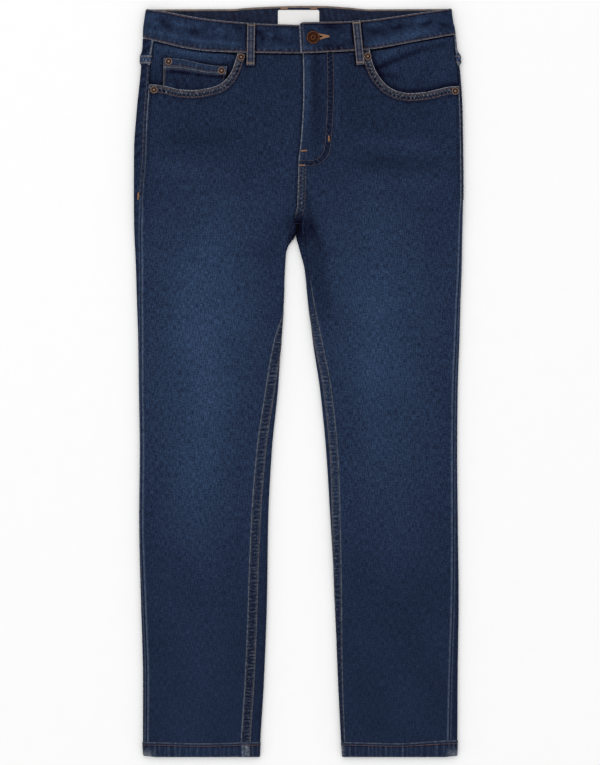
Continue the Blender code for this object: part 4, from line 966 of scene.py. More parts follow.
@dataclass
class FrontPanels:
    """The two front panels, with the pocket openings cut out of their upper corners."""

    fly_lap: float = 8.0
    fly_end_y: float = 286.0
    fly_raised: float = CLOTH + GAP
    fly_width: float = 40.5
    fly_corner: float = 28.0
    rise_band: float = 11.5
    edge_steps: tuple = (0, 0.2, 0.5, 0.9, 1.4, 2.0, 2.8, 3.8, 5.2, 7, 9, 11.5, 14.5, 18)
    near_steps: tuple = (*(0, 0.2, 0.5, 0.9, 1.4, 2.0, 2.8, 3.8, 5.2, 7),
        *(9, 11, 13, 15, 18, 21, 25, 30, 36, 43))
    middle_columns: int = 34
    corner_column: int = 37
    top_insets: tuple = (13.5, 12, 10.5, 9, 7.5, 6, 4.5, 3, 2, 1.2, 0.7, 0.3, 0.1, 0)

    def bounds(self, side: Side, y: Array) -> tuple[Array, Array]:
        """Args: side, y. Returns: spread-out x of the outseam edge and of the inner edge."""
        seam = FORM.outseam_x(side, y, GAP / 2)
        leg = FORM.inseam_x(side, y, -GAP / 2)
        if side is Side.LEFT:
            seat = FORM.front_edge(y) + GAP / 2
        else:
            lap = (self.fly_lap + GAP) * ramp(self.fly_end_y + 3, self.fly_end_y + 20, y)
            seat = FORM.front_edge(y) - GAP / 2 + lap
        return seam, np.where(y > FORM.crotch_y, seat, leg)

    def fly_inside(self, x: Array, y: Array) -> Array:
        """Args: a place. Returns: how far it lies inside the fly's outer row of stitches."""
        across = FORM.front_edge(y) + self.fly_width - x
        up = y - self.fly_end_y
        turn = self.fly_corner - np.hypot(self.fly_corner - across, self.fly_corner - up)
        in_corner = (across < self.fly_corner) & (up < self.fly_corner)
        return np.where(in_corner, turn, np.minimum(across, up))

    def near_places(self, side: Side, y: Array) -> Array:
        """Args: side, (rows,) heights. Returns: (rows, 20) distances from the inner edge."""
        even = np.tile(np.asarray(self.near_steps, float), (len(y), 1))
        if side is Side.RIGHT:
            return even
        up = np.clip(y - self.fly_end_y, 0.0, self.fly_corner)
        turn = self.fly_width - self.fly_corner
        turn += np.sqrt(self.fly_corner**2 - (self.fly_corner - up) ** 2)
        turn = np.maximum(turn, self.rise_band + 7.5)
        columns = [np.full(len(y), s) for s in (0, 0.2, 0.5, 0.9, 1.4, 2.0, 3.0, 5, 7, 9, 11, 13, 15)]
        columns += [mix(15.0, turn - 3, 0.4), mix(15.0, turn - 3, 0.75)]
        columns += [turn + s for s in (-3, -1.5, 0, 1.5, 3)]
        return mix(even, np.stack(columns, axis=1), ramp(90, FORM.crotch_y - 20, y)[:, None])

    def straight_rows(self, side: Side, y: Array) -> Array:
        """Args: side, (rows,) heights. Returns: (rows, columns, 2) places, outseam first."""
        seam, inner = self.bounds(side, y)
        edge = seam[:, None] - side * np.asarray(self.edge_steps, float)
        near = inner[:, None] + side * self.near_places(side, y)[:, ::-1]
        share = np.arange(1, self.middle_columns + 1) / (self.middle_columns + 1)
        middle = mix(edge[:, -1:], near[:, :1], share)
        x = np.concatenate([edge, middle, near], axis=1)
        return joined(x, y[:, None])

    def top_edge(self, side: Side, base: Array) -> tuple[Array, Array]:
        """The pocket opening's edge, then the waist seam.

        Args:
            side: which panel.
            base: (columns, 2) the row that the columns come from.

        Returns:
            (columns, 2) places of the edge, and the directions into the panel there.
        """
        scoop = np.asarray(SCOOPS[side], float)
        scoop[0, 0] = self.bounds(side, scoop[0, 1])[0]
        corner = self.corner_column
        rest = np.linspace(self.edge_steps[-1], lengths(scoop)[-1], corner - len(self.edge_steps) + 2)[1:]
        points, into = edge_path(scoop, np.concatenate([self.edge_steps, rest]), 1.0)
        points[-1, 1] = FORM.front_waist(points[-1, 0]) - GAP / 2
        middle_x = self.bounds(side, 436.6)[1]
        near = middle_x + side * self.near_places(side, np.array([436.0]))[0, ::-1]
        between = np.linspace(points[-1, 0], near[0], len(base) - corner - len(near) + 1)[1:-1]
        rest_x = np.concatenate([between, near])
        rest = joined(rest_x, FORM.front_waist(rest_x) - GAP / 2)
        far = ramp(0, 34, np.abs(rest_x - points[-1, 0]))[:, None]
        rest_into = mix(into[-1], DOWN, far)
        return np.concatenate([points, rest]), np.concatenate([into, unit(rest_into)])

    def bent_rows(self, side: Side) -> Array:
        """Args: side. Returns: (rows, columns, 2) places from COONS_Y to the top edge."""
        base = self.straight_rows(side, np.array([COONS_Y]))[0]
        top, into = self.top_edge(side, base)
        lowest = top + into * self.top_insets[0]
        share = ((base[:, 0] - base[0, 0]) / (base[-1, 0] - base[0, 0]))[:, None]
        rows = []
        for v in np.arange(1, 20) / 20:
            y = [mix(COONS_Y, lowest[end, 1], v) for end in (0, -1)]
            sides = np.array([(self.bounds(side, y[end])[end], y[end]) for end in (0, 1)])
            corners = mix(mix(base[0], base[-1], share), mix(lowest[0], lowest[-1], share), v)
            rows.append(mix(base, lowest, v) + mix(sides[0], sides[1], share) - corners)
        rows += [top + into * inset for inset in self.top_insets]
        grid = np.stack(rows)
        edge = len(self.edge_steps)
        steps_in = np.asarray(self.edge_steps, float) / self.edge_steps[-1]
        seam = self.bounds(side, grid[:, :edge, 1])[0]
        width = (grid[:, edge - 1, 0] - self.bounds(side, grid[:, edge - 1, 1])[0])[:, None]
        grid[:, :edge, 0] = seam + width * steps_in
        near = self.near_places(side, np.full(len(grid), 400.0))[:, ::-1]
        inner = self.bounds(side, grid[:, -near.shape[1] :, 1])[1]
        grid[:, -near.shape[1] :, 0] = inner + side * near
        return grid

    def relief(self, x: Array, y: Array, side: Side) -> Array:
        """Args: places, side. Returns: how far the cloth stands proud of the form."""
        seam, inner = self.bounds(side, y)
        from_seam = side * (seam - x)
        ridge = 0.26 * hump(1.9, 1.9, from_seam) * ramp(240, 225, y)
        edges = rounded(np.minimum(np.abs(x - seam), np.abs(x - inner)), 0.55)
        raised = ridge + edges + 0.1 * ripple(x, y, 26, 11) * ramp(2, 12, np.abs(x - seam))
        if side is Side.LEFT:
            fly = self.fly_raised * ramp(-2, 2, self.fly_inside(x, y))
            raised += np.where(y > FORM.crotch_y, fly, 0.0)
        return raised

    def wear(self, x: Array, y: Array, side: Side) -> Array:
        """Args: places, side. Returns: how rubbed the cloth is."""
        seam, inner = self.bounds(side, y)
        from_seam, from_inner = np.abs(x - seam), np.abs(x - inner)
        low = ramp(240, 225, y)
        upper = 0.9 if side is Side.LEFT else mix(0.4, 0.95, ramp(325, 345, y))
        upper *= ramp(1.8, 0.3, from_seam) * (1 - low)
        worn = 0.24 * hump(1.9, 1.9, from_seam) * low + upper
        leg = np.where(y < FORM.crotch_y, 0.7 * ramp(150, 100, y), 0.0)
        if side is Side.LEFT:
            leg = np.where(y < FORM.crotch_y, 0.55 * ramp(150, 100, y), 0.95)
        return np.maximum(worn, leg * ramp(2.2, 0.2, from_inner))

    def build(self, side: Side) -> None:
        """Args: side. Makes the panel."""
        y = np.concatenate([steps(PANEL_FOOT_Y, FORM.crotch_y - GAP, 3.2), steps(FORM.crotch_y + GAP, 280,
            3.2), steps(281, 292, 1.1), steps(294, COONS_Y, 3.2)])
        places = np.concatenate([self.straight_rows(side, y), self.bent_rows(side)])
        x, y = places[..., 0], places[..., 1]
        raised = self.relief(x, y, side)
        from_top = np.full(x.shape, 20.0)
        insets = np.asarray(self.top_insets)
        from_top[-len(insets) :] = insets[:, None]
        raised += rounded(from_top, 0.5)
        under_fly = 0.0
        if side is Side.LEFT:
            lap = x - FORM.front_edge(y)
            under_fly = self.fly_raised * ramp(self.fly_lap + 6.5, self.fly_lap + 3.5, lap)
            under_fly *= ramp(272, 283, y)
        outer = FORM.lay(x, y, side, raised)
        inner = FORM.lay(x, y, side, under_fly - CLOTH)
        is_waist = np.arange(x.shape[1]) >= self.corner_column
        # Painted shadow just under the waistband and just outside the pocket edge's band, and painted shade
        # beside the belt loops.
        band_shadow = np.where(is_waist, 0.7 * ramp(3.0, 0.8, from_top), 0.26 * hump(12.4, 2.0, from_top))
        level = WASH_AND_SHADE.front(x, y, side) - band_shadow - WASH_AND_SHADE.beside_loops(x, y)
        from_seam = np.abs(x - self.bounds(side, y)[0])
        # Painted shade beside the outseam band's edge.
        level -= 0.18 * hump(4.4, 2.2, from_seam) * ramp(225, 245, y)
        level += 0.55 * hump(1.7, 1.9, from_seam) * ramp(240, 225, y)
        panel = add_shell(f"front_{side.word}_cloth", outer, inner, places, Finish.DENIM, level,
            self.wear(x, y, side))
        declare(panel, (f"front_{side.word}",))


@dataclass
class BackPanels:
    """The two back panels, which wrap round the side folds, and the yokes over them."""

    yoke_side_y: float = 434.5
    yoke_centre_y: float = 404.0
    outer_columns: int = 26
    flat_columns: int = 10
    inner_columns: int = 30
    fold_cut: float = 260.0

    def yoke_seam(self, share: Array) -> Array:
        """Args: share from side seam to centre back. Returns: height of the yoke seam."""
        first = ramp(-0.25, 1.25, 0.0)
        return mix(self.yoke_side_y, self.yoke_centre_y, ramp(-0.25, 1.25, share) - first)

    def grid(self, side: Side, heights: Callable[[float], Array], has_inside: bool) -> tuple:
        """Rows across a back panel, from the outseam round to the underside.

        Args:
            side: which panel.
            heights: gives the rows' y at a share of the way to the centre back.
            has_inside: whether the rows end at an inseam.

        Returns:
            Points, directions out of the cloth, places on the cut, distance from the seams.
        """
        y = heights(0.0)
        parts = []

        def turned(edge: Curve, facing: int, seam: Array, rolls: list, cut_x: Callable) -> None:
            """Args: a fold, the side it faces, its seam, distances from its top, their cut."""
            for roll in rolls:
                point, out = FORM.rolled(edge(y), facing, roll, y)
                parts.append((point, out, joined(cut_x(roll), y), roll - seam))

        seam = FORM.outseam[side](y) + GAP / 2
        graded = (0, 0.2, 0.5, 0.9, 1.4, 2.0, 2.8)
        rest = np.linspace(0, 1, self.outer_columns - len(graded) + 1)[1:]
        rolls = [seam + inset for inset in graded]
        rolls += [mix(seam + graded[-1], FORM.half_turn, share) for share in rest]
        turned(FORM.outer_edge[side], side, seam, rolls, lambda roll: side * (self.fold_cut + roll))
        start, end = parts[-1][0][:, 0], side * GAP / 2
        if has_inside:
            in_seam = FORM.inseam[side](y) + GAP / 2
            last_roll = np.maximum(FORM.half_turn, in_seam + graded[-1] + 0.6)
            end = FORM.inner_edge[side](y) + side * (FORM.radius + last_roll - FORM.half_turn)
        under_cut = side * (self.fold_cut + FORM.half_turn) + start
        for k in range(1, self.flat_columns + 1):
            share = k / (self.flat_columns + has_inside)
            at = heights(share)
            x = mix(start, end, share)
            parts.append((joined(x, at, FORM.lift(at)), np.tile(BELOW, (len(y), 1)), joined(under_cut - x,
                at), np.full(len(y), 30.0)))
        if has_inside:
            rest = np.linspace(0, 1, self.inner_columns - len(graded) + 1)[:-1]
            rolls = [mix(last_roll, in_seam + graded[-1], share) for share in rest]
            rolls += [in_seam + inset for inset in graded[::-1]]
            turned(FORM.inner_edge[side], -side, in_seam, rolls, lambda roll: under_cut + side * (last_roll
                - roll) - end)
        return tuple(np.stack(part, axis=1) for part in zip(*parts))

    def shell(self, name: str, side: Side, grid: tuple, deeper: float = 0.0,
            keep: Array | None = None) -> bpy.types.Object:
        """Makes the cloth of a back panel or yoke.

        Args:
            name: the piece's name.
            side: which panel.
            grid: points, directions, places on the cut and distances from the seams.
            deeper: how much deeper its indigo is.
            keep: which cells there are, all by default.

        Returns:
            The piece.
        """
        points, outs, cuts, near = grid
        x, y = points[..., 0], points[..., 1]
        turned = ramp(-0.6, 0.2, outs[..., 2])
        raised = 0.26 * hump(1.9, 1.9, near) * turned + rounded(near, 0.55) * turned
        raised -= 0.1 * ramp(HEM_TOP_Y + 2, HEM_TOP_Y, y) * (1 - turned)
        top_level = WASH_AND_SHADE.front(x, y, side) - 0.05
        top_level += 0.24 * puckers(y + 0.7 * near, 12.0, 141) * ramp(200, 240, y)
        top_level += 0.3 * hump(1.7, 1.6, near)
        fade = mix(WASH_AND_SHADE.back(x, y), top_level, ramp(-0.9, 0.3, outs[..., 2]))
        shown = np.where(side * x < 100, ramp(150, 100, y), 1.0)
        wear = mix(0.14, 0.95, ramp(380, 392, y)) * hump(1.7, 1.6, near)
        wear *= turned * shown
        outer, inner = points + outs * raised[..., None], points - outs * CLOTH
        return add_shell(name, outer, inner, cuts, Finish.DENIM, fade - deeper, wear, keep)

    def build_panel(self, side: Side) -> None:
        """Args: side. Makes the back panel."""
        leg = self.grid(side, lambda share: steps(PANEL_FOOT_Y, FORM.crotch_y - GAP, 3.2), True)
        low = steps(FORM.crotch_y + GAP, COONS_Y, 3.4)
        rise = np.linspace(0, 1, 28)[1:]

        def seat(share: float) -> Array:
            """Args: share to the centre back. Returns: heights of the rows there."""
            upper = mix(COONS_Y, self.yoke_seam(share) - GAP / 2, rise)
            return np.concatenate([low, upper])

        body = self.grid(side, seat, False)
        missing = self.inner_columns
        parts = []
        for of_leg, of_body in zip(leg, body):
            last = np.repeat(of_body[:, -1:], missing, axis=1)
            parts.append(np.concatenate([of_leg, np.concatenate([of_body, last], axis=1)]))
        rows, columns = parts[0].shape[:2]
        keep = np.ones((rows - 1, columns - 1), bool)
        keep[len(leg[0]) - 1 :, -missing:] = False
        panel = self.shell(f"back_{side.word}_cloth", side, parts, keep=keep)
        declare(panel, (f"back_{side.word}",))

    def build_yoke(self, side: Side) -> None:
        """Args: side. Makes the yoke between the back panel and the waistband."""
        rows = np.linspace(0, 1, 16)

        def heights(share: float) -> Array:
            """Args: share to the centre back. Returns: heights of the rows there."""
            back = FORM.back_waist(mix(side * 200.0, 0.0, share))
            top = mix(FORM.front_waist(side * 205.0), back, ramp(0.0, 0.1, share))
            low = self.yoke_seam(share) + GAP / 2
            return mix(low, top - GAP / 2, rows)

        points, outs, cuts, near = self.grid(side, heights, False)
        on_top = points[..., 2] > FORM.lift(points[..., 1]) + FORM.radius
        shift = FORM.front_waist(points[..., 0]) - FORM.front_waist(side * 205.0)
        points[..., 1] += np.where(on_top, shift, 0.0) * rows[:, None]
        name = f"yoke_{side.word}"
        yoke = self.shell(f"{name}_cloth", side, (points, outs, cuts, near), deeper=0.05)
        declare(yoke, (name,))


# ---------------- felled seams and edges
@dataclass(frozen=True)
class Band:
    """A strip where cloth lies double: raised, gathered by its stitching, worn on its ridges."""

    name: str
    width: float
    rows: tuple = ()
    thread: Finish = Finish.RUST
    raised: float = 0.5
    pucker: float = 0.17
    pitch: float = 4.4
    lean: float = 0.5
    seed: int = 1
    sharp_start: bool = True
    start_wear: float = 0.0
    end_wear: float = 0.0
    ridge_wear: float = 0.3
    ridges: tuple = ()
    shade: float = -0.12
    sunk: float = 0.9
    sewn_from: float = -600.0
    sewn_to: float = 600.0

    def offsets(self) -> Array:
        """Returns: distances across the band at which it has points."""
        inner = steps(1.3, self.width - 1.0, 1.15)
        return np.concatenate([[0, 0.12, 0.35, 0.75], inner, [self.width - 0.45, self.width]])

    def build(self, points: Array, outs: Array, cut: Array, fade: Array, sewing: Stitching,
            worn: float | Array = 1.0) -> None:
        """Lays the band and its rows of stitches.

        Args:
            points: (stations, offsets, 3) places on the form under it.
            outs: directions out of the cloth there.
            cut: (stations, offsets, 2) places on the cloth.
            fade: (stations, offsets) how faded the cloth is, with painted shade laid in.
            sewing: takes the rows of stitches.
            worn: share of the wear that shows, where it isn't even along the band.
        """
        across = self.offsets()
        middle = points[:, len(across) // 2]
        along = lengths(middle)
        rising = puckers(along[:, None] + self.lean * across, self.pitch, self.seed)
        falling = puckers(along[:, None] - self.lean * across, self.pitch * 1.2, self.seed + 50)
        fine = puckers(along[:, None] + 0.3 * across, self.pitch * 0.4, self.seed + 70)
        gather = 0.6 * (rising + falling)
        inside = np.clip(np.sin(math.pi * np.clip(across / self.width, 0, 1)), 0, 1) ** 0.45
        wave = (gather + 0.4 * fine) * inside
        start = rounded(across, 0.5) if self.sharp_start else -self.raised * ramp(1.2, 0, across)
        end = -(self.raised + 0.12) * ramp(self.width - 1.0, self.width, across)
        groove = sum((0.22 * hump(row, 0.9, across) for row in self.rows), np.zeros_like(across))
        height = self.raised + start + end - groove + self.pucker * wave
        on_floor = ramp(-0.5, -0.9, outs[..., 2]) * (points[..., 2] < 0.5)
        height = mix(height, np.minimum(height, 0.0) - groove - 0.25, on_floor)
        lifted = points + outs * height[..., None]
        low = points[:, [-1, 0]] - outs[:, [-1, 0]] * self.sunk
        low[:, 0] = mix(low[:, 0], low[:, 1], 0.04)
        low[:, 1] = mix(low[:, 1], low[:, 0], 0.01)
        sections = np.concatenate([lifted, low], axis=1)
        ends = self.start_wear * hump(0.5, 0.9, across) + self.end_wear * hump(self.width - 0.9, 0.9,
            across)
        rubbed = ends * (0.8 + 0.35 * gather) + self.ridge_wear * np.clip(wave, 0, 1.2) ** 1.2
        for offset, half, strength in self.ridges:
            rubbed += strength * hump(offset, half, across) * (0.8 + 0.3 * fine)
        rubbed *= worn
        level = fade + self.shade + 0.2 * wave
        level = np.concatenate([level, level[:, [-1, 0]]], axis=1)
        rubbed = np.concatenate([rubbed, np.zeros((len(points), 2))], axis=1)
        places = np.concatenate([cut, cut[:, [-1, 0]]], axis=1)
        declare(add_loft(self.name, sections, places, Finish.DENIM, level, rubbed))
        for row in self.rows:
            j = int(np.clip(np.searchsorted(across, row) - 1, 0, len(across) - 2))
            t = (row - across[j]) / (across[j + 1] - across[j])
            path = mix(lifted[:, j], lifted[:, j + 1], t)
            out = mix(outs[:, j], outs[:, j + 1], t)
            sewn = (path[:, 1] > self.sewn_from) & (path[:, 1] < self.sewn_to)
            sewing.row(self.thread, (path + out * THREAD_PROUD)[sewn], out[sewn])

    def on_top(self, x: Array, y: Array, side: Side, sewing: Stitching, worn: float | Array = 1.0) -> None:
        """Args: (stations, offsets) spread-out places, side, sewing, worn. Lays the band there."""
        x, y = np.broadcast_arrays(x, y)
        points, outs = FORM.on_top(x, y, side)
        self.build(points, outs, joined(x, y), WASH_AND_SHADE.front(x, y, side), sewing, worn)


@dataclass
class Seams:
    """Every felled seam and faced edge, with the stitching that holds it."""

    sewing: Stitching
    step: float = 1.25
    scoop_band: float = 11.0
    rise_band: float = 11.5
    inseam_rows: dict = sided(10.5, 9.0)
    outseam_end_y: float = 245.0
    inseam_end_y: float = 118.0

    def inseam(self, side: Side) -> None:
        """Args: side. Lays the felled inseam, from the hem to the crotch."""
        row = self.inseam_rows[side]
        band = Band(f"inseam_band_{side.word}", row + 1.3, (row,), Finish.WASHED, pucker=0.2, pitch=4.2,
            lean=0.15, seed=21 + side, start_wear=0.22, end_wear=0.5, ridge_wear=0.42, shade=-0.22
            if side is Side.RIGHT else -0.08, ridges=((row - 1.4, 1.2, 0.3),), sewn_from=HEM_TOP_Y - 1,
            sewn_to=self.inseam_end_y)
        y = steps(-499, 196, self.step)[:, None]
        x = FORM.inseam_x(side, y, GAP / 2 + band.offsets()[None, :])
        worn = ramp(self.inseam_end_y + 6, self.inseam_end_y - 40, y)
        if side is Side.LEFT:
            worn *= mix(0.3, 1.0, ramp(-430, -280, y))
        band.on_top(x, y, side, self.sewing, worn)

    def outseam(self, side: Side) -> None:
        """Args: side. Lays the topstitched upper end of the outseam, ended by a bartack."""
        band = Band(f"outseam_band_{side.word}", 5.6, (3.0,), Finish.WASHED, raised=0.42, pucker=0.1,
            pitch=6.0, seed=31 + side, ridge_wear=0.16, shade=-0.05, sunk=0.6)
        top = 421.0
        y = steps(self.outseam_end_y, top, self.step)[:, None]
        x = FORM.outseam_x(side, y, -GAP / 2 - band.offsets()[None, :])
        band.on_top(x, y, side, self.sewing)
        bar_y = np.linspace(self.outseam_end_y - 3, self.outseam_end_y + 6, 4)
        bar_x = FORM.outseam_x(side, bar_y, -4.9)
        self.sewing.on_form(Finish.ORANGE, bar_x, bar_y, side, 0.6, StitchKind.BARTACK)

    def scoop(self, side: Side) -> None:
        """Args: side. Lays the faced edge of a pocket opening, stitched twice."""
        table = np.asarray(SCOOPS[side], float)
        table[0, 0] = FORM.outseam_x(side, table[0, 1], GAP / 2 + 0.2)
        table[-1, 1] = FORM.front_waist(table[-1, 0]) - GAP
        points, into = edge_path(table, steps(0, lengths(table)[-1], 1.1), 2.0)
        band = Band(f"pocket_edge_{side.word}", self.scoop_band, (2.4, 9.3), pucker=0.2, pitch=4.0,
            seed=41 + side, start_wear=1.6, end_wear=0.1, ridge_wear=0.75, shade=-0.26, sunk=1.0,
            ridges=((4.2, 1.3, 0.35),))
        across = band.offsets()
        x = points[:, None, 0] + into[:, None, 0] * across
        y = points[:, None, 1] + into[:, None, 1] * across
        y = np.minimum(y, FORM.front_waist(x) - GAP)
        band.on_top(x, y, side, self.sewing)

    def rise(self) -> None:
        """Lays the felled front rise, from the crotch to the foot of the fly."""
        band = Band("rise_band", self.rise_band, (2.2, 10.0), Finish.WASHED, pucker=0.22, pitch=4.2,
            seed=51, start_wear=1.2, ridge_wear=0.35, shade=-0.16, ridges=((6.4, 1.2, 0.28),),
            sewn_from=222.0)
        y = steps(FORM.crotch_y + 0.6, 288, self.step)[:, None]
        x = FORM.front_edge(y) + GAP / 2 + band.offsets()[None, :]
        band.on_top(x, y, Side.LEFT, self.sewing, ramp(214, 240, y))

    def fly(self, panels: FrontPanels) -> None:
        """Args: the front panels. Lays the fly's curved double row and its bartacks."""
        inner, outer = 32.8, 40.3
        corner, foot_y = 27.0, {inner: 293.6, outer: 287.4}
        edge, paths = FORM.front_edge, {}
        for offset, radius in ((inner, corner - 7.0), (outer, corner)):
            down = steps(436, foot_y[offset] + radius, 1.2)
            turn = np.linspace(0, math.pi / 2, 26)[1:]
            down_x = edge(down) + offset
            centre_x = edge(foot_y[offset] + radius) + offset - radius
            turn_x = centre_x + radius * np.cos(turn)
            turn_y = foot_y[offset] + radius - radius * np.sin(turn)
            last = steps(turn_x[-1], edge(foot_y[offset]) + 1.0, 1.2)[1:]
            x = np.concatenate([down_x, turn_x, last])
            y = np.concatenate([down, turn_y, np.full(len(last), foot_y[offset])])
            length = lengths(joined(x, y))
            places = np.linspace(0, length[-1], 170)
            paths[offset] = joined(np.interp(places, length, x), np.interp(places, length, y))
        band = Band("fly_band", 10.3, (1.4, 8.9), Finish.WASHED, raised=0.22, pucker=0.12, pitch=5.0,
            seed=61, sharp_start=False, ridge_wear=0.08, shade=-0.24, sunk=0.7)
        share = (band.offsets() - 1.4) / 7.5
        places = mix(paths[inner][:, None], paths[outer][:, None], share[None, :, None])
        x, y = places[..., 0], places[..., 1]
        x = np.maximum(x, FORM.front_edge(y) + 0.6)
        points, outs = FORM.on_top(x, y, Side.LEFT)
        points += outs * (panels.fly_raised * ramp(-2, 2, panels.fly_inside(x, y)))[..., None]
        band.build(points, outs, places, WASH_AND_SHADE.front(x, y, Side.LEFT), self.sewing)
        top = FORM.lift(300.0) + FORM.height + panels.fly_raised + 0.35
        for start, end in (((3.4, 306.8), (10.8, 307.2)), ((0.9, 287.8), (8.6, 287.6))):
            self.sewing.bartack(Finish.ORANGE, (*start, top), (*end, top))
        self.sewing.bartack(Finish.ORANGE, (40.0, 326.6, top), (40.5, 319.4, top))
        y = np.linspace(305.6, 295.6, 10)
        for offset in (1.6, 4.4, 9.4):
            self.sewing.on_form(Finish.WASHED, FORM.front_edge(y) + offset, y, Side.LEFT, panels.fly_raised
                + 0.1, StitchKind.FINE)

    def yokes(self) -> None:
        """Lays the felled yoke seams, which end in a raised lump at each side fold."""
        for side in Side:
            band = Band(f"yoke_band_{side.word}", 11.6, (2.0, 9.6), Finish.TAN, raised=0.55, pucker=0.24,
                pitch=3.8, seed=71 + side, start_wear=0.75, end_wear=0.75, ridge_wear=0.85, shade=-0.04,
                sunk=0.8)
            across = band.offsets()
            patch = BackPanels(outer_columns=34, flat_columns=150)

            def heights(share: float) -> Array:
                """Args: share to the centre back. Returns: heights across the band there."""
                return patch.yoke_seam(share) - GAP / 2 - across

            points, outs, cut, _ = patch.grid(side, heights, False)
            fade = mix(WASH_AND_SHADE.back(points[..., 0], points[..., 1]), WASH_AND_SHADE.front(points[..., 0], points[..., 1],
                side), ramp(-0.9, 0.3, outs[..., 2]))
            fade += 0.55 * ramp(-0.4, 0.4, outs[..., 2])
            turned = [part.swapaxes(0, 1) for part in (points, outs, cut, fade)]
            band.build(*turned, self.sewing)

    def centre_back(self) -> None:
        """Lays the felled seat seam on the underside, crotch to waistband."""
        band = Band("seat_band", 10.6, (2.0, 8.6), pucker=0.18, seed=81, shade=-0.02, start_wear=0.2,
            sunk=0.8)
        y = steps(FORM.crotch_y - 14, 459, self.step)[:, None]
        x, y = np.broadcast_arrays(band.offsets()[None, :] - 5.3, y)
        points = joined(x, y, FORM.lift(y))
        # Painted shade: the seam's lowest part, at the crotch, is drawn nearly black.
        fade = WASH_AND_SHADE.back(x, y) - 0.7 * ramp(224, 214, y)
        outs = np.broadcast_to(BELOW, points.shape)
        band.build(points, outs, joined(x, y), fade, self.sewing, ramp(215, 245, y[:, :1]))

    def build(self, panels: FrontPanels) -> None:
        """Args: the front panels. Lays every seam."""
        for side in Side:
            self.inseam(side)
            self.outseam(side)
            self.scoop(side)
        self.rise()
        self.fly(panels)
        self.yokes()
        self.centre_back()


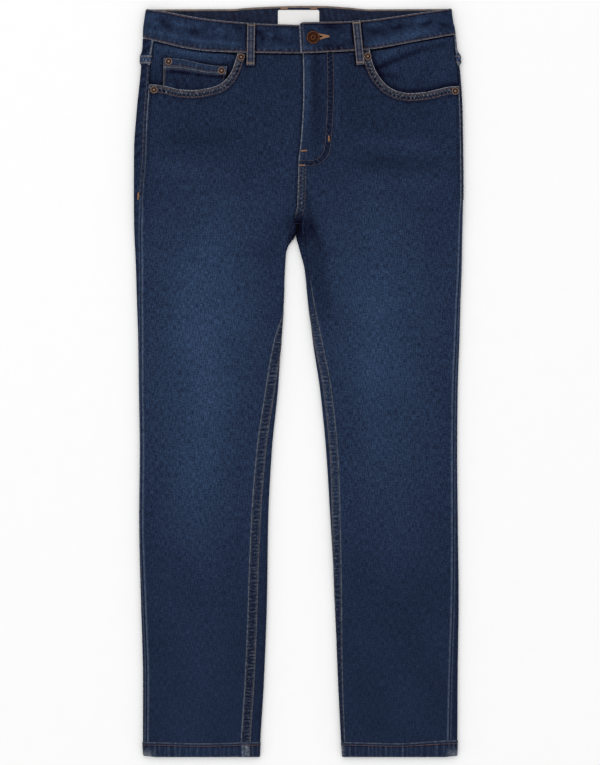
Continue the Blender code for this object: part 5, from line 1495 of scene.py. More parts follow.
@dataclass
class Hems:
    """The turned-up hems, each a ring round its leg opening, roped along its stitching."""

    sewing: Stitching
    foot_y: float = -500.0
    height: float = 20.5
    row: float = 15.7
    raised: float = 0.55
    wall: float = 2.3
    corner_lift: float = 1.6
    sag: float = 1.6
    tilt: float = 3.4

    def girth(self, side: Side, y: Array, count: int) -> tuple[Array, Array, Array]:
        """Places round a leg at each height.

        Args:
            side: which leg.
            y: (rows,) heights.
            count: number of places round it.

        Returns:
            Points, directions out, and the distance round, each (count, rows, ...).
        """
        outer, inner = FORM.folds(side, y)
        flat = np.abs(outer - inner)
        total = 2 * flat + 2 * FORM.half_turn
        share = (np.arange(count) / count)[:, None]
        round_it = share * total
        under = round_it > flat + FORM.half_turn
        x = inner + side * round_it
        y_grid = np.broadcast_to(y, x.shape)
        point, out = FORM.rolled(np.broadcast_to(FORM.outer_edge[side](y), x.shape), side,
            side * (x - outer), y_grid)
        back = round_it - flat - FORM.half_turn
        in_roll = FORM.half_turn + flat - back
        below, below_out = FORM.rolled(np.broadcast_to(FORM.inner_edge[side](y), x.shape), -side, in_roll,
            y_grid)
        under = under[..., None]
        return np.where(under, below, point), np.where(under, below_out, out), round_it

    def build(self) -> None:
        """Makes both hems."""
        for side in Side:
            down = np.concatenate([[0, 0.25, 0.6, 1.1, 1.8, 2.6, 3.5], steps(4.4, 16, 1.15),
                [17, 18, 19, 19.6, 20.0, 20.3, self.height]])
            y = self.foot_y + self.height - down
            count = int(2 * (152 + 10) / 1.15)
            points, outs, round_it = self.girth(side, y, count)
            swell = puckers(round_it, 31.0, 97 + side)
            gather = puckers(round_it + 0.08 * down, 7.4, 91 + side) * (0.65 + 0.45 * swell)
            fine = puckers(round_it - 0.05 * down, 3.4, 95 + side)
            span = ramp(1.5, 6, down) * ramp(self.height + 2, self.height - 4, down)
            wave = (0.8 * gather + 0.3 * fine) * span
            wave[-12:] *= np.linspace(1, 0.3, 12)[:, None]
            row_down = self.height - self.row
            ridge = 0.3 * hump(1.4, 1.9, down) - 0.3 * hump(row_down, 1.0, down)
            top_fall = -(self.raised + 0.25) * ramp(1.0, 0.0, down)
            foot = rounded(self.height - down, 0.9)
            raised = self.raised + ridge + top_fall + foot + 0.16 * wave
            turned = ramp(-0.9, -0.2, outs[..., 2])
            flat = np.minimum(raised, 0.0) - 0.5 * hump(row_down, 1.3, down)
            raised = mix(flat, raised, turned)
            outer = points + outs * raised[..., None]
            inner = points - outs * (self.wall - 0.6 * ramp(1.5, 0, self.height - down))[..., None]
            near = side * (points[..., 0] - FORM.folds(side, y)[0])
            lift = self.corner_lift * ramp(-16, 3, near) * ramp(0.4, 1.0, down / self.height)
            lift -= self.sag * hump(-76.0, 74.0, near) * ramp(1.0, 0.4, down / self.height)
            if side is Side.LEFT:
                lift += self.tilt * ramp(-80, -4, near) * ramp(1.0, -0.5, down / self.height)
            for grid in (outer, inner):
                grid[..., 1] += lift
            sections = ringed(outer, inner)
            cut = joined(side * round_it, y)
            cut = ringed(cut, cut)
            level = WASH_AND_SHADE.front(points[..., 0], points[..., 1], side)
            level += 0.02 + 0.22 * wave - 0.3 * hump(row_down + 0.4, 2.0, down)
            seam = side * (points[..., 0] - FORM.inseam_x(side, points[..., 1], 5.5))
            on_top = ramp(-0.5, 0.2, outs[..., 2])
            bulk = ramp(6.2, 4.2, np.abs(seam)) * on_top
            level -= 0.3 * hump(-8.5, 4.0, seam) * span * on_top
            ends = ramp(-15, -4, near) * ramp(0.3, 0.9, down / self.height)
            ends += 0.7 * hump(16.0, 11.0, seam) * ramp(2.4, 0.2, self.height - down)
            level = ringed(level, level - 0.1)
            rubbed = 0.5 * hump(1.0, 1.2, down) * (0.75 + 0.3 * gather)
            rubbed += 0.24 * np.clip(wave, 0, 1)
            rubbed += 0.25 * ramp(2.4, 0.2, self.height - down) * (0.6 + 0.5 * gather)
            rubbed += 0.6 * bulk * span + 0.5 * ends * on_top
            rubbed = ringed(rubbed, 0 * rubbed)
            name = f"hem_{side.word}"
            hem = add_loft(name, sections, cut, Finish.DENIM, level, rubbed, closed=True)
            declare(hem)
            j = nearest(down, row_down)
            ring = outer[:, j] + outs[:, j] * THREAD_PROUD
            ring = np.concatenate([ring, ring[:1]])
            out = np.concatenate([outs[:, j], outs[:1, j]])
            self.sewing.row(Finish.RUST, ring, out)


# ---------------- waistband
@dataclass
class Waistband:
    """One strap of doubled denim round the waist; its left end laps over the right one."""

    sewing: Stitching
    wall: float = 2.2
    top_z: float = 8.4
    underlap_end_x: float = 28.0
    underlap_z: float = 7.4
    edge_round: float = 0.9
    corner: float = 5.5
    row: float = 1.9
    flat_stations: int = 170
    fold_stations: int = 14
    back_stations: int = 170
    creases: tuple = ((-206, 468, -173, 461, 3, 0.16), (-174, 461, -146, 456, 3, 0.17),
        (-149, 456, -117, 451, 2.6, 0.17), (-119, 452, -71, 448, 2.6, 0.14),
        (-195, 473, -185, 479, 2, 0.14), (-203, 485, -187, 485, 2, 0.1), (-166, 477, -145, 472, 2.6, 0.14),
        (-139, 479, -130, 470, 2, 0.12), (-113, 462, -105, 470, 1.8, 0.14),
        (-106, 470, -98, 465, 1.8, 0.14), (-109, 459, -95, 465, 1.8, 0.09),
        (-185, 483, -169, 467, 5, -0.13), (-149, 467, -131, 464, 4, -0.14), (-91, 473, -73, 469, 3, -0.12),
        (-163, 453, -131, 447, 2.6, -0.09), (-43, 465, -33, 459, 1.8, 0.13), (-21, 467, -10, 462, 4, 0.12),
        (-35, 458, -23, 454, 4, -0.11), (-55, 471, -46, 451, 4, -0.13), (-49, 442, 1, 447, 2.2, 0.1),
        (7, 466, 10, 442, 1.6, 0.16), (6, 446, 22, 441, 3, 0.11), (21, 471, 29, 463, 1.5, 0.15),
        (55, 457, 62, 463, 1.5, 0.15), (62, 463, 69, 458, 1.5, 0.15), (50, 447, 59, 453, 1.5, 0.11),
        (31, 473, 53, 469, 3, -0.1), (31, 446, 62, 445, 3, -0.08), (91, 473, 113, 475, 2.6, 0.13),
        (154, 479, 174, 483, 3.4, 0.15), (119, 469, 141, 473, 3.4, -0.15), (161, 474, 179, 479, 3, -0.15),
        (183, 477, 203, 473, 3, -0.13), (90, 450, 133, 455, 5, 0.16), (125, 454, 165, 465, 5.5, 0.18),
        (157, 463, 189, 469, 4, 0.13), (90, 465, 117, 465, 4, -0.11))

    @property
    def overlap_z(self) -> float:
        """Returns: outer height of the left end."""
        return self.underlap_z + GAP + self.wall

    def centre(self, share: float) -> tuple[Array, Array]:
        """Args: share of the band's height. Returns: its middle line there and directions out."""
        half = self.wall / 2
        radius = (self.top_z - FORM.seat_lift) / 2
        edges = table_curve(OVERLAP_EDGE, 0, 1)
        tops = {Side.RIGHT: table_curve(RIGHT_BAND_TOP, 0, 1), Side.LEFT: table_curve(LEFT_BAND_TOP, 0, 1)}
        back_top = table_curve(BACK_BAND_TOP, 0, 1)

        def tangent(side: Side, y: Array) -> Array:
            """Args: side, y. Returns: x where the band's side fold begins."""
            return FORM.outer_edge[side](y) - side * radius

        def front(side: Side) -> tuple[Array, Array]:
            """Args: side. Returns: points and directions from the front end to the fold."""
            value = np.linspace(0, 1, self.flat_stations)
            end = self.underlap_end_x
            if side is Side.LEFT:
                turn = float(ramp(1 - self.corner / 40, 1.0, share))
                end = edges(mix(436, 477, share)) + self.corner * (1 - math.sqrt(1 - turn**2))
            guess = mix(end, tangent(side, 475), value)
            y = mix(FORM.front_waist(guess) + GAP / 2, tops[side](guess), share)
            x = mix(end, tangent(side, y), value)
            if side is Side.RIGHT:
                z = mix(self.top_z, self.underlap_z, ramp(-38, -4, x))
            else:
                low, high = self.underlap_end_x - 2, self.underlap_end_x + 26
                z = mix(self.overlap_z, self.top_z, ramp(low, high, x))
            return joined(x, y, z - half), np.tile((0.0, 0.0, 1.0), (len(x), 1))

        def fold(side: Side) -> tuple[Array, Array]:
            """Args: side. Returns: points and directions from the front round to the back."""
            angle = np.linspace(0, math.pi, self.fold_stations + 1)[1:]
            y = mix(FORM.front_waist(side * 209.0), tops[side](side * 204.0), share)
            y += GAP / 2 * (1 - share)
            out = joined(side * np.sin(angle), 0 * angle, np.cos(angle))
            middle = np.array([tangent(side, y), y, FORM.seat_lift + radius])
            return middle + out * (radius - half), out

        value = np.linspace(0, 1, self.back_stations)[1:-1]
        guess = mix(tangent(Side.RIGHT, 475), tangent(Side.LEFT, 475), value)
        y = mix(FORM.back_waist(guess) + GAP / 2, back_top(guess), share)
        x = mix(tangent(Side.RIGHT, y), tangent(Side.LEFT, y), value)
        back = joined(x, y, FORM.seat_lift + half)
        left = [tuple(part[::-1] for part in run) for run in (fold(Side.LEFT), front(Side.LEFT))]
        runs = [front(Side.RIGHT), fold(Side.RIGHT), (back, np.tile(BELOW, (len(x), 1))), *left]
        return tuple(np.concatenate(part) for part in zip(*runs))

    def level(self, x: Array, y: Array, share: Array) -> Array:
        """Args: places, share of the height. Returns: how faded the outside is there."""
        base = Curve([-210, -130, -70, 0, 40, 100, 150, 210], [0.4, 0.36, 0.3, 0.24, 0.16, 0.24, 0.32,
            0.28])
        mottle = 0.05 * ripple(x, share * 60, 15, 8) + 0.04 * ripple(x, share * 90, 34, 9)
        return base(x) + 2.3 * creased(x, y, self.creases) + mottle

    def build(self) -> None:
        """Makes the band, its rows of stitches and its buttonhole."""
        height = 38.7
        graded = np.array([0, 0.12, 0.35, 0.75, 1.3, 1.9, 2.3, 2.8, 3.6])
        shares = np.concatenate([graded / height, np.linspace(0.13, 0.87, 20), 1 - graded[::-1] / height])
        half = self.wall / 2
        lines = []
        for share in shares:
            middle, out = self.centre(share)
            up, down = share * height, (1 - share) * height
            edge = rounded(up, self.edge_round) + rounded(down, self.edge_round)
            along = lengths(middle)
            rows = hump(self.row, 1.1, up) + hump(self.row, 1.1, down)
            low_gather = puckers(along + 0.5 * up, 6.0, 101) * hump(4.5, 6.0, up)
            top_gather = puckers(along - 0.4 * down, 7.0, 103) * hump(4.5, 5.0, down)
            swell = 0.22 * ripple(along, up, 34, 105) * ramp(0, 8, min(up, down))
            relief = edge - 0.26 * rows + 0.16 * low_gather + 0.12 * top_gather + swell
            relief = np.minimum(relief, 0.28)
            relief = mix(relief, np.minimum(relief, 0.1), ramp(-0.2, -0.9, out[:, 2]))
            inside = edge - 0.24 * rows + 0.1 * ripple(along, up, 26, 107)
            lines.append((middle + out * (half - 0.15 + relief)[:, None], middle - out * (half - 0.1
                + inside)[:, None], out, along))
        outer, inner, outs, along = (np.stack(part, axis=1) for part in zip(*lines))
        sections = ringed(outer, inner)
        x = outer[..., 0]
        level = self.level(x, outer[..., 1], shares[None, :])
        gather = puckers(along, 6.0, 101)
        level += 0.08 * gather * hump(0.1, 0.2, shares)[None, :]
        inside_level = 0.08 + 0.04 * ripple(x, 38 * shares[None, :] + 0 * x, 22, 109)
        inside_level += 0.13 * puckers(along + 24 * shares[None, :], 9.0, 111)
        from_low, from_top = shares * height, (1 - shares) * height
        is_front = ramp(0.2, 0.9, outs[..., 2])
        # Painted shade beside the belt loops and along the grooves of both stitch rows.
        level -= WASH_AND_SHADE.beside_loops(x, outer[..., 1]) * is_front
        level -= 0.34 * hump(2.8, 1.7, from_top)[None, :] * is_front
        level -= 0.28 * hump(2.8, 1.6, from_low)[None, :] * is_front
        rubbed = 0.95 * ramp(1.25, 0.3, from_top)[None, :] * (0.3 + 0.7 * is_front)
        rubbed += 0.9 * ramp(1.2, 0.2, from_low)[None, :] * is_front
        rubbed += 0.22 * np.clip(gather, 0, 1) * hump(4.0, 3.5, from_low)[None, :]
        ends = np.zeros(len(sections))
        ends[-3:] = (0.0, 0.5, 1.0)
        rubbed = np.maximum(rubbed, ends[:, None])
        inside_rub = 0.035 + 0.4 * ramp(1.6, 0.1, from_top)[None, :] + 0 * x
        cut = joined(along, from_low)
        band = add_loft("waistband_uncut", sections, ringed(cut, cut), Finish.BAND_DENIM, ringed(level,
            inside_level), ringed(rubbed, inside_rub))
        band = self.cut_buttonhole(band)
        declare(band, ("waistband",))
        self.stitch(shares, height, outer, inner, outs)

    def stitch(self, shares: Array, height: float, outer: Array, inner: Array, outs: Array) -> None:
        """Sews the band along both edges and round its left end, and edges the buttonhole.

        Args:
            shares: share of the height of each point of a section.
            height: the band's height.
            outer: its outside points.
            inner: its inside points.
            outs: directions out of the outside.
        """
        low = nearest(shares * height, self.row)
        top = nearest((1 - shares) * height, self.row)
        for number in (low, top):
            path = outer[9:-3, number] + outs[9:-3, number] * THREAD_PROUD
            self.sewing.row(Finish.RUST, path, outs[9:-3, number])
        turned = -outs[:, top]
        around = 2 * self.fold_stations + self.back_stations - 2
        edge = slice(self.flat_stations, self.flat_stations + around)
        path = inner[edge, top] + turned[edge] * THREAD_PROUD
        self.sewing.row(Finish.TAN, path, turned[edge])
        for number in (len(shares) - 2, len(shares) - 4, len(shares) - 5):
            path = inner[edge, number] + turned[edge] * 0.05
            self.sewing.row(Finish.TAN, path, turned[edge], StitchKind.EDGING)
        end = outer[-4, low : top + 1] + np.array([1.2, 0.0, 0.14])
        self.sewing.row(Finish.WASHED, end)
        z = self.overlap_z + 0.05
        for start, finish in (((25.6, 462.4), (40.6, 459.5)), ((25.6, 454.8), (40.6, 458.5)),
                ((27.6, 460.8), (39.6, 459.2)), ((27.6, 456.4), (39.6, 458.8)),
                ((32.0, 458.6), (39.0, 459.0))):
            self.sewing.row(Finish.ORANGE, np.linspace((*start, z), (*finish, z), 12), None,
                StitchKind.BUTTONHOLE)
        back_z = FORM.seat_lift + self.wall + 0.1
        for start in (-23.5, 15.5):
            self.sewing.bartack(Finish.ORANGE, (start, 496.9, back_z), (start + 9.0, 497.0, back_z))

    def cut_buttonhole(self, band: bpy.types.Object) -> bpy.types.Object:
        """Args: the band. Returns: it with an eye and an open slit through its left end."""
        eye = np.array([(19.3 + 2.9 * math.cos(a), 457.4 + 2.9 * math.sin(a)) for a in np.linspace(0.65,
            2 * math.pi - 0.65, 18)])
        outline = np.concatenate([eye, [(38.6, 458.75), (38.6, 459.25)]])
        low, high = self.underlap_z + GAP / 2 - 0.2, self.overlap_z + 2
        count = len(outline)
        points = np.concatenate([np.column_stack([outline, np.full(count, low)]),
            np.column_stack([outline, np.full(count, high)])])
        faces = [tuple(reversed(range(count))), tuple(range(count, 2 * count))]
        faces += [(k, (k + 1) % count, (k + 1) % count + count, k + count) for k in range(count)]
        zeros = np.zeros(len(points))
        layers = {"fade": zeros - 0.2, "wear": zeros}
        cutter = add_mesh("cutter", points, faces, Finish.BAND_DENIM, layers, points[:, :2])
        modifier = band.modifiers.new("buttonhole", "BOOLEAN")
        modifier.operation = "DIFFERENCE"
        modifier.solver = "EXACT"
        modifier.object = cutter
        cut = plain_copy(band, "waistband_cloth")
        bpy.data.objects.remove(cutter)
        return cut


# ---------------- pockets
@dataclass
class Pockets:
    """The pocket facings, the coin pocket and the patch pockets on the seat."""

    sewing: Stitching
    facing_wall: float = 1.0
    facing_depth: dict = sided(2.8, 1.7)
    facing_level: dict = sided(0.36, 0.32)
    top_light: dict = sided(0.3, 0.1)
    below_scoop: float = 24.0
    coin_depth: float = 1.5
    creases: dict = sided(((-106, 436, -178, 443, 5, -0.3), (-92, 432, -110, 400, 5, 0.3),
        (-180, 420, -194, 400, 5, 0.2)), ((100, 415, 141, 433, 3.6, 0.85), (134, 430, 164, 442, 3.8, 0.75),
        (158, 440.5, 202, 452, 4, 0.6), (103, 410, 141, 404, 4, 0.5), (102, 429, 136, 442, 4, -0.6),
        (196, 424, 150, 400, 7, 0.2)))

    facing_area: dict = sided(0.0097, 0.0112)

    def facing(self, side: Side, panels: FrontPanels) -> None:
        """Args: side, front panels. Makes the denim behind a pocket opening."""
        table = sorted(SCOOPS[side])
        scoop_y = Curve([row[0] for row in table], [row[1] for row in table])
        corner_x = SCOOPS[side][-1][0] - side * 13.0
        share = np.linspace(0, 1, 56)[None, :]
        v = np.linspace(0, 1, 40)[:, None]
        rough = mix(side * 200.0, corner_x, share)
        low = scoop_y(mix(rough, side * 150.0, ramp(0.55, 1.0, share)))
        low = low - self.below_scoop + 26.0 * ramp(0.7, 1.0, share)
        y = mix(low, FORM.front_waist(rough) + 2.5, v)
        x = mix(panels.bounds(side, y)[0], corner_x, share)
        crease = creased(x, y, self.creases[side])
        depth = self.facing_depth[side] + crease * ramp(452, 440, y - 0.09 * np.abs(x) + 10)
        point, out = FORM.on_top(x, y, side)
        outer = point - out * depth[..., None]
        inner = point - out * (depth + self.facing_wall)[..., None]
        # Painted shade and light on the facing's creases: darker in the troughs, lighter on the ridges.
        level = self.facing_level[side] - 0.42 * crease
        edge = np.asarray(SCOOPS[side], float)
        near = np.linspace(0, 1, 200)
        places = np.linspace(0, 1, len(edge))
        edge = np.stack([np.interp(near, places, edge[:, 0]), np.interp(near, places, edge[:, 1])])
        away = np.hypot(x[..., None] - edge[0], y[..., None] - edge[1]).min(axis=-1)
        # Painted shadow on the facing under the pocket edge.
        level -= 0.3 * ramp(9, 1, away) + 0.1 * ramp(24, 4, away)
        from_band = FORM.front_waist(x) - y
        # Lighter below the waistband, with a painted shadow line right under its edge.
        level += self.top_light[side] * ramp(14, 4, from_band) - 0.9 * ramp(3.4, 1.6, from_band)
        # On the right, a painted shadow round the coin pocket's edge.
        if side is Side.RIGHT:
            above = y - mix(430.6, 420.0, (x + 180) / 84)
            beside = np.hypot(np.maximum(np.abs(x + 138) - 42, 0), np.maximum(above, 0))
            level -= 0.26 * ramp(5.5, 0.4, beside) + 0.2 * ramp(2.6, 0.4, beside)
        level += 0.03 * ripple(x, y, 30, 13)
        name = f"facing_{side.word}"
        piece = add_shell(f"{name}_cloth", outer, inner, joined(x, y), Finish.DENIM, level, 0 * x)
        declare(piece, (name,))

    def coin_pocket(self) -> None:
        """Makes the small patch pocket on the right facing."""
        graded = np.array([0, 0.1, 0.3, 0.6, 1.0, 1.6, 2.4, 3.4])
        width, height = 84.0, 46.0
        share = np.concatenate([graded / width, np.linspace(0.06, 0.94, 30), 1 - graded[::-1] / width])
        v = np.concatenate([np.linspace(0, 0.62, 12), 1 - np.concatenate([np.linspace(16.5, 4.4, 12),
            graded[::-1]]) / height])
        s, v = share[None, :], v[:, None]
        x = mix(mix(-181.0, -101.0, s), mix(-179.6, -95.2, s), v)
        low, high = 380.0, mix(430.6, 420.0, s)
        y = mix(low, high + 1.6 * np.sin(2 * math.pi * s), v)
        down, side_in = (1 - v) * height, np.minimum(s, 1 - s) * width
        hem = 0.35 * ramp(14.2, 12.8, down)
        rows = (8.8, 13.2)
        groove = sum(0.2 * hump(row, 0.9, down) for row in rows) + 0.2 * hump(1.7, 0.8, side_in)
        gather = puckers(x + 0 * y, 5.0, 113) * hump(6.5, 6.5, down)
        raised = -self.coin_depth + hem - groove + 0.12 * gather
        raised += rounded(np.minimum(down, side_in), 0.6)
        point, out = FORM.on_top(x, y, Side.RIGHT)
        outer = point + out * raised[..., None]
        inner = point - out * (self.coin_depth + 1.0)
        # Painted shade in a band just below the hem's raised edge.
        level = 0.18 + 0.08 * ripple(x, y, 14, 15) + 0.1 * gather - 0.3 * hump(16.6, 3.0, down)
        level += 0.22 * ramp(8.0, 6.0, down) - 0.14 * ramp(30, 40, down)
        is_right = ramp(0.4, 0.6, s)
        rubbed = 0.6 * ramp(1.6, 0.2, side_in) * mix(1.0, ramp(16, 9, down), is_right)
        rubbed = np.maximum(rubbed, 0.38 * ramp(1.8, 0.2, down)) + 0.15 * np.clip(gather, 0, 1)
        rubbed += 0.52 * hump(10.9, 1.5, down)
        piece = add_shell("coin_pocket_cloth", outer, inner, joined(x, y), Finish.DENIM, level, rubbed)
        declare(piece, ("coin_pocket",))
        for thread, row in zip((Finish.RUST, Finish.WASHED), rows):
            i = nearest((1 - v[:, 0]) * height, row)
            self.sewing.row(thread, outer[i, 4:-4] + (0, 0, 0.1), None, StitchKind.FINE)
        for thread, j in ((Finish.TAN, 6), (Finish.WASHED, -7)):
            self.sewing.row(thread, outer[:-6, j] + (0, 0, 0.1), None, StitchKind.FINE)

    def seat_pocket(self, side: Side) -> None:
        """Args: side. Makes a pointed patch pocket on the underside, sewn twice round its edge."""
        centre_x, top_half, low_half = side * 97.0, 72.0, 60.0
        top_y, shoulder_y, point_y, tilt = 382.0, 258.0, 236.0, side * 4.0
        graded = np.array([0, 0.15, 0.4, 0.8, 1.4, 2.0, 2.7, 4.0, 6.0, 7.4, 8.2, 9.0, 10.5])
        width, height = 2 * low_half, top_y - shoulder_y
        share = np.concatenate([graded / width, np.linspace(0.12, 0.88, 40), 1 - graded[::-1] / width])
        v = np.concatenate([graded / height, np.linspace(0.1, 0.86, 40), 1 - graded[::-1] / height])
        u, v = (2 * share - 1)[None, :], v[:, None]
        low = point_y + (shoulder_y - point_y) * np.abs(u)
        y = mix(low, top_y + side * 2.0 * u * side, v)
        x = centre_x + u * mix(low_half, top_half, v) + tilt * v
        from_side = (1 - np.abs(u)) * mix(low_half, top_half, v)
        from_low, from_top = v * height, (1 - v) * height
        edge = np.minimum(np.minimum(from_side, from_low), from_top)
        sewn = np.minimum(from_side, from_low)
        groove = 0.4 * (hump(2.0, 1.0, sewn) + hump(8.2, 1.0, sewn))
        groove = np.maximum(groove, 0.4 * (hump(2.0, 1.0, from_top) + hump(12.0, 1.0, from_top)))
        z = 0.04 - rounded(edge, 0.45) + groove
        outer = joined(x, y, z)
        inner = joined(x, y, FORM.seat_lift - GAP)
        name = f"back_pocket_{side.word}"
        piece = add_shell(f"{name}_cloth", outer, inner, joined(x, y), Finish.DENIM, WASH_AND_SHADE.back(x, y) + 0.05,
            0.6 * ramp(1.4, 0.1, edge))
        declare(piece, (name,))
        paths = [outer[nearest(from_top[:, 0], inset), 4:-4] for inset in (2.0, 12.0)]
        for i in (nearest(graded, inset) for inset in (8.2, 2.0)):
            paths.insert(0, np.concatenate([outer[::-1, i][1:-i], outer[i, i : outer.shape[1] - i],
                outer[i:-1, -1 - i]]))
        for path in paths:
            self.sewing.row(Finish.RUST, path + (0, 0, 0.02), np.tile(BELOW, (len(path), 1)))

    def build(self, panels: FrontPanels) -> None:
        """Args: front panels. Makes every pocket."""
        for side in Side:
            self.facing(side, panels)
            self.seat_pocket(side)
        self.coin_pocket()


# ---------------- belt loops and label
@dataclass
class BeltLoops:
    """Five loops of folded denim strip, held by a bartack at each end."""

    sewing: Stitching
    width: float = 10.3
    wall: float = 1.6
    level: float = 0.26

    def across(self) -> Array:
        """Returns: (points, 2) half of a section, from one edge to the other, as u and height."""
        u = np.array([-0.5, -0.49, -0.465, -0.43, -0.37, -0.3, -0.2, -0.1, 0])
        u = np.concatenate([u, -u[-2::-1]])
        edge = (0.5 - np.abs(u)) * self.width
        z = self.wall + rounded(edge, 0.5) - 0.22 * hump(1.3, 0.8, edge)
        z -= 0.28 * np.exp(-((u / 0.13) ** 2))
        return joined(u * self.width, z)

    def strip(self, name: str, path: Array, out: Array) -> Array:
        """A loop along a path.

        Args:
            name: the piece's name.
            path: (n, 3) middle of its underside.
            out: (n, 3) directions out of the cloth.

        Returns:
            (n, points, 3) its upper side.
        """
        sideways = unit(np.cross(np.gradient(path, axis=0), out))
        half = self.across()
        along = lengths(path)
        from_end = np.minimum(along, along[-1] - along)
        sunk = 0.3 * hump(1.5, 1.6, from_end) - 0.06 * puckers(along, 4.0, 121)
        sunk -= rounded(from_end, 0.5)
        u = half[:, 0][None, :]
        z = half[:, 1][None, :] - sunk[:, None]
        top = path[:, None] + sideways[:, None] * u[..., None] + out[:, None] * z[..., None]
        low = path[:, None] + sideways[:, None] * np.array([half[-1, 0], half[0, 0]])[None, :, None]
        sections = np.concatenate([top, low], axis=1)
        edge = self.width / 2 - np.abs(np.concatenate([half[:, 0], [half[-1, 0], half[0, 0]]]))
        fade = self.level - 0.25 * hump(2.9, 1.1, edge)[None, :] + 0 * along[:, None]
        fade += 0.05 * puckers(along, 5.0, 123)[:, None]
        uneven = 0.8 + 0.3 * puckers(along, 7.0, 125)
        wear = 0.12 + 0.8 * ramp(1.9, 0.3, edge)[None, :] * uneven[:, None]
        wear = wear - 0.12 * hump(2.9, 1.0, edge)[None, :] + 0.28 * hump(4.4, 0.9, edge)[None, :]
        wear += 0.4 * ramp(1.2, 0, from_end)[:, None]
        cut = np.stack(np.broadcast_arrays(u[:, :1] * 0 + along[:, None], edge[None, :]), axis=-1)
        piece = add_loft(f"{name}_cloth", sections, cut, Finish.BAND_DENIM, fade, wear)
        declare(piece, (name,))
        return top

    def sew(self, top: Array, out: Array, is_worn: bool) -> None:
        """Args: a loop's upper side, directions out of it, whether its edges show as tan."""
        for column in (3, top.shape[1] - 4):
            path = top[2:-2, column] + out[2:-2] * 0.04
            self.sewing.row(Finish.TAN if is_worn else Finish.RUST, path, out[2:-2], StitchKind.FINE)
        for end in (3, -4):
            path = top[end, 1:-1] + out[end] * 0.22
            outs = np.tile(out[end], (len(path), 1))
            self.sewing.row(Finish.TAN, path, outs, StitchKind.BARTACK)

    def front(self, side: Side, top: tuple, bottom: tuple) -> None:
        """Args: side, (x, y) of the loop's upper and lower ends."""
        seam = float(FORM.front_waist(bottom[0]))
        band = 8.7
        panel = float(FORM.lift(seam)) + FORM.height + SEAM_RAISED + GAP
        places = ((top[1], band), (top[1] - 4, band), (mix(top[1], seam, 0.35), band + 0.7),
            (mix(top[1], seam, 0.75), band + 0.8), (seam - 2, band + 0.3), (bottom[1] + 6, panel + 0.4),
            (bottom[1] + 3, panel), (bottom[1], panel))
        height = table_curve(places, 0, 1)
        y = steps(top[1], bottom[1], 1.0)
        x = mix(top[0], bottom[0], (top[1] - y) / (top[1] - bottom[1]))
        path = joined(x, y, height(y))
        ahead = np.gradient(path, axis=0)
        out = unit(joined(0 * y, ahead[:, 2], -ahead[:, 1]))
        name = f"belt_loop_front_{side.word}"
        upper = self.strip(name, path, out)
        self.sew(upper, out, True)

    def back(self, name: str, x: float) -> None:
        """Args: name, x of the loop on the underside."""
        top = float(table_curve(BACK_BAND_TOP, 0, 1)(x)) - 0.6
        y = steps(420.0, top, 1.6)
        path = joined(x, y, 1.1)
        out = np.tile(BELOW, (len(y), 1))
        wall, self.wall = self.wall, 0.9
        upper = self.strip(name, path, out)
        self.sew(upper - out[:, None] * 0.3, out, False)
        self.wall = wall

    def build(self) -> None:
        """Makes the five loops."""
        for side, (top_x, top_y, low_x, low_y) in zip(Side, WASH_AND_SHADE.loops):
            self.front(side, (top_x, top_y), (low_x, low_y))
        for place, x in (("side_right", -118.0), ("side_left", 118.0), ("back", 0.0)):
            self.back(f"belt_loop_{place}", x)


@dataclass
class WaistLabel:
    """A bare white tape sewn inside the back waistband."""

    sewing: Stitching
    half_width: float = 27.5
    low_y: float = 466.0
    top_y: float = 494.8
    z: float = 3.9
    wall: float = 0.55
    corner: float = 2.2

    def build(self) -> None:
        """Makes the label, which sags softly between its sewn edges."""
        y = np.concatenate([[0, 0.25, 0.6, 1.1, 1.8], steps(2.6, 26, 1.6), [27.3, 28.0, 28.5, 28.8]])
        y = y[:, None] + self.low_y
        u = np.concatenate([[0, 0.25, 0.6, 1.1, 1.8], steps(2.8, 26.0, 2.0)]) - self.half_width
        u = np.concatenate([u, [0.0], -u[::-1]])[None, :]
        above = np.clip(y - (self.top_y - self.corner), 0, self.corner)
        narrowed = self.corner - np.sqrt(self.corner**2 - above**2)
        x = u * (self.half_width - narrowed) / self.half_width
        sag = 0.22 * ripple(x, y, 30, 131) * ramp(2, 9, self.half_width - np.abs(u))
        edge = np.minimum(self.half_width - np.abs(u), self.top_y - y + 0 * u)
        z = self.z + self.wall + 0.12 + sag + rounded(edge, 0.3) - 0.12 * hump(1.6, 0.8, edge)
        outer = joined(x, y, z)
        inner = joined(x, y, self.z + 0.1)
        piece = add_shell("label_cloth", outer, inner, outer[..., :2], Finish.TAPE, 0 * x, 0 * x)
        declare(piece, ("label",))
        row = len(y) - 3
        self.sewing.row(Finish.WHITE, outer[row, 3:-3] + (0, 0, 0.02), None, StitchKind.FINE)
        for column in (4, -5):
            self.sewing.row(Finish.WHITE, outer[:-3, column] + (0, 0, 0.02), None, StitchKind.FINE)


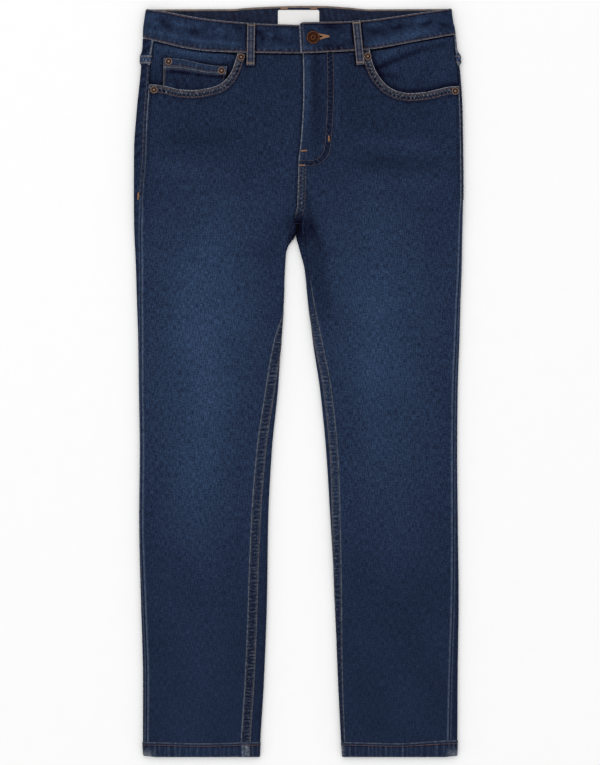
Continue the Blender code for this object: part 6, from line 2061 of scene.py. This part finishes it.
# ---------------- rivets and button
@dataclass
class Hardware:
    """The rivets at the pocket corners and the shank button."""

    rivet_places: tuple = ((-76.5, 431.6), (-192.3, 387.9), (91.9, 432.6), (208.4, 386.3))
    coin_places: tuple = ((-173.0, 426.0), (-102.6, 413.8))
    rivet_profile: tuple = ((0.0, 0.0, 0.0), (4.2, 0.0, 0.0), (4.65, 0.18, 0.2), (4.8, 0.5, 0.4),
        (4.68, 0.82, 0.7), (4.35, 1.05, 0.75), (3.9, 1.02, 0.3), (3.3, 0.72, 0.0), (2.3, 0.62, 0.0),
        (1.75, 0.72, 0.1), (1.45, 1.05, 0.3), (1.2, 1.4, 0.6), (0.85, 1.58, 0.9), (0.45, 1.52, 0.8),
        (0.0, 1.3, 0.2))
    button_place: tuple = (19.3, 457.4)
    button_profile: tuple = ((0.0, 7.72, 0.0), (2.0, 7.72, 0.0), (2.0, 10.2, 0.0), (7.5, 10.2, 0.1),
        (8.3, 10.5, 0.4), (8.78, 11.05, 0.8), (8.7, 11.6, 1.0), (8.25, 12.0, 1.05), (7.6, 12.1, 0.9),
        (6.95, 12.02, 0.5), (6.5, 11.66, 0.1), (6.05, 11.44, 0.0), (5.3, 11.5, 0.5), (4.7, 11.46, 0.1),
        (4.3, 11.36, 0.0), (3.9, 11.45, 0.15), (3.5, 11.8, 0.7), (3.05, 12.0, 1.0), (2.4, 12.06, 0.95),
        (1.8, 11.98, 0.6), (1.4, 11.7, 0.1), (1.0, 11.52, 0.0), (0.5, 11.5, 0.1), (0.0, 11.5, 0.15))
    turns: int = 40
    tilt: float = 1.5
    seed: int = 11

    def spun(self, name: str, profile: tuple, centre: tuple, finish: Finish) -> bpy.types.Object:
        """Args: name, rows of (radius, height, wear), centre, finish. Returns: the turned piece."""
        angle = np.arange(self.turns) * 2 * math.pi / self.turns
        rings = profile[1:-1]
        points = [(r * math.cos(a), r * math.sin(a), z) for r, z, _ in rings for a in angle]
        points += [(0.0, 0.0, profile[0][1]), (0.0, 0.0, profile[-1][1])]
        wear = [w for _, _, w in rings for _ in angle] + [profile[0][2], profile[-1][2]]
        count, last = self.turns, (len(rings) - 1) * self.turns
        faces = []
        for k in range(len(rings) - 1):
            for a in range(count):
                b = (a + 1) % count
                low, high = k * count, (k + 1) * count
                faces.append((low + a, low + b, high + b, high + a))
        foot, crown = len(points) - 2, len(points) - 1
        faces += [((a + 1) % count, a, foot) for a in range(count)]
        faces += [(last + a, last + (a + 1) % count, crown) for a in range(count)]
        points = np.array(points) + np.array(centre)
        layers = {"wear": np.array(wear)}
        return add_mesh(name, points, faces, finish, layers, points[:, :2])

    def tree(self) -> bpy.types.NodeTree:
        """Returns: the node tree that sets a rivet on each point."""
        tree, add, given = new_tree("rivets", {"Rivet": "Object", "Tilt": "Float", "Seed": "Int",
            "Metal": "Material"})
        shape = add("GeometryNodeObjectInfo", {"Object": given["Rivet"]})["Geometry"]
        least = add("ShaderNodeMath", (given["Tilt"], -1.0), operation="MULTIPLY")[0]
        lean = add("FunctionNodeRandomValue", {2: least, 3: given["Tilt"], "Seed": given["Seed"]},
            data_type="FLOAT")[1]
        turn = add("ShaderNodeCombineXYZ", {"X": lean, "Y": lean})["Vector"]
        spin = add("FunctionNodeEulerToRotation", {"Euler": turn})["Rotation"]
        laid = add("GeometryNodeInstanceOnPoints", {"Points": given["Geometry"], "Instance": shape,
            "Rotation": spin})["Instances"]
        real = add("GeometryNodeRealizeInstances", {"Geometry": laid})["Geometry"]
        dressed = add("GeometryNodeSetMaterial", {"Geometry": real, "Material": given["Metal"]})
        add("NodeGroupOutput", (dressed["Geometry"],))
        return tree

    def feet(self) -> list[tuple]:
        """Returns: where each rivet's foot stands."""
        heights = ((self.rivet_places, SEAM_RAISED + 0.3), (self.coin_places, 0.3 - 1.5))
        return [(x, y, float(FORM.top(x, y)) + above) for places, above in heights for x, y in places]

    def build(self) -> None:
        """Makes the six rivets and the button."""
        rivet = self.spun("rivet_shape", self.rivet_profile, (0, 0, 0), Finish.RIVET)
        rivets = grown("rivets_copper", self.tree(), np.array(self.feet()), [], None, {"Rivet": rivet,
            "Tilt": math.radians(self.tilt), "Seed": self.seed, "Metal": Finish.RIVET.material()})
        bpy.data.objects.remove(rivet)
        declare(rivets, tuple(f"rivet_{k}" for k in range(1, 7)))
        place = (*self.button_place, 0)
        button = self.spun("button_copper", self.button_profile, place, Finish.COPPER)
        declare(button, ("button",))


# ---------------- light, camera and sweep
@dataclass(frozen=True)
class Studio:
    """A shadowless white table seen from straight above."""

    floor_z: float = -0.2
    reach: float = 2.5
    aim: tuple = (1.87, -1.33)
    height: float = 3400.0
    lens: float = 120.0
    sky: float = 0.95
    key: float = 9.0
    key_place: tuple = (-1100.0, 1300.0, 2600.0)
    key_size: float = 1500.0

    def build(self) -> None:
        """Makes the table, the light and the camera."""
        scene = bpy.context.scene
        floor = bpy.data.meshes.new("sweep")
        reach, z = self.reach, self.floor_z * MM
        floor.from_pydata([(-reach, -reach, z), (reach, -reach, z), (reach, reach, z), (-reach, reach, z)],
            [], [(0, 1, 2, 3)])
        floor.materials.append(Finish.PAPER.material())
        sweep = new_object("sweep", floor)
        world = bpy.data.worlds.new("studio")
        world.use_nodes = True
        background = world.node_tree.nodes["Background"]
        background.inputs["Color"].default_value = linear("#ffffff")
        background.inputs["Strength"].default_value = self.sky
        scene.world = world
        light = bpy.data.lights.new("key", "AREA")
        light.shape = "SQUARE"
        light.size = self.key_size * MM
        light.energy = self.key
        key = new_object("key", light)
        key.location = Vector(self.key_place) * MM
        key.rotation_euler = (-key.location).to_track_quat("-Z", "Y").to_euler()
        lens = bpy.data.cameras.new("camera")
        lens.lens = self.lens
        lens.clip_end = 20.0
        camera = new_object("camera", lens)
        camera.location = (self.aim[0] * MM, self.aim[1] * MM, self.height * MM)
        scene.camera = camera
        scene.view_settings.view_transform = "Standard"


def main() -> None:
    """Builds every piece in order."""
    sewing = Stitching()
    panels = FrontPanels()
    backs = BackPanels()
    Seams(sewing).build(panels)
    Hems(sewing).build()
    for side in Side:
        panels.build(side)
        backs.build_panel(side)
        backs.build_yoke(side)
    Waistband(sewing).build()
    Pockets(sewing).build(panels)
    BeltLoops(sewing).build()
    WaistLabel(sewing).build()
    Hardware().build()
    for rows in sewing.build():
        declare(rows)
    Studio().build()


if __name__ == "__main__":
    logging.basicConfig(level=logging.INFO, format="%(message)s")
    main()
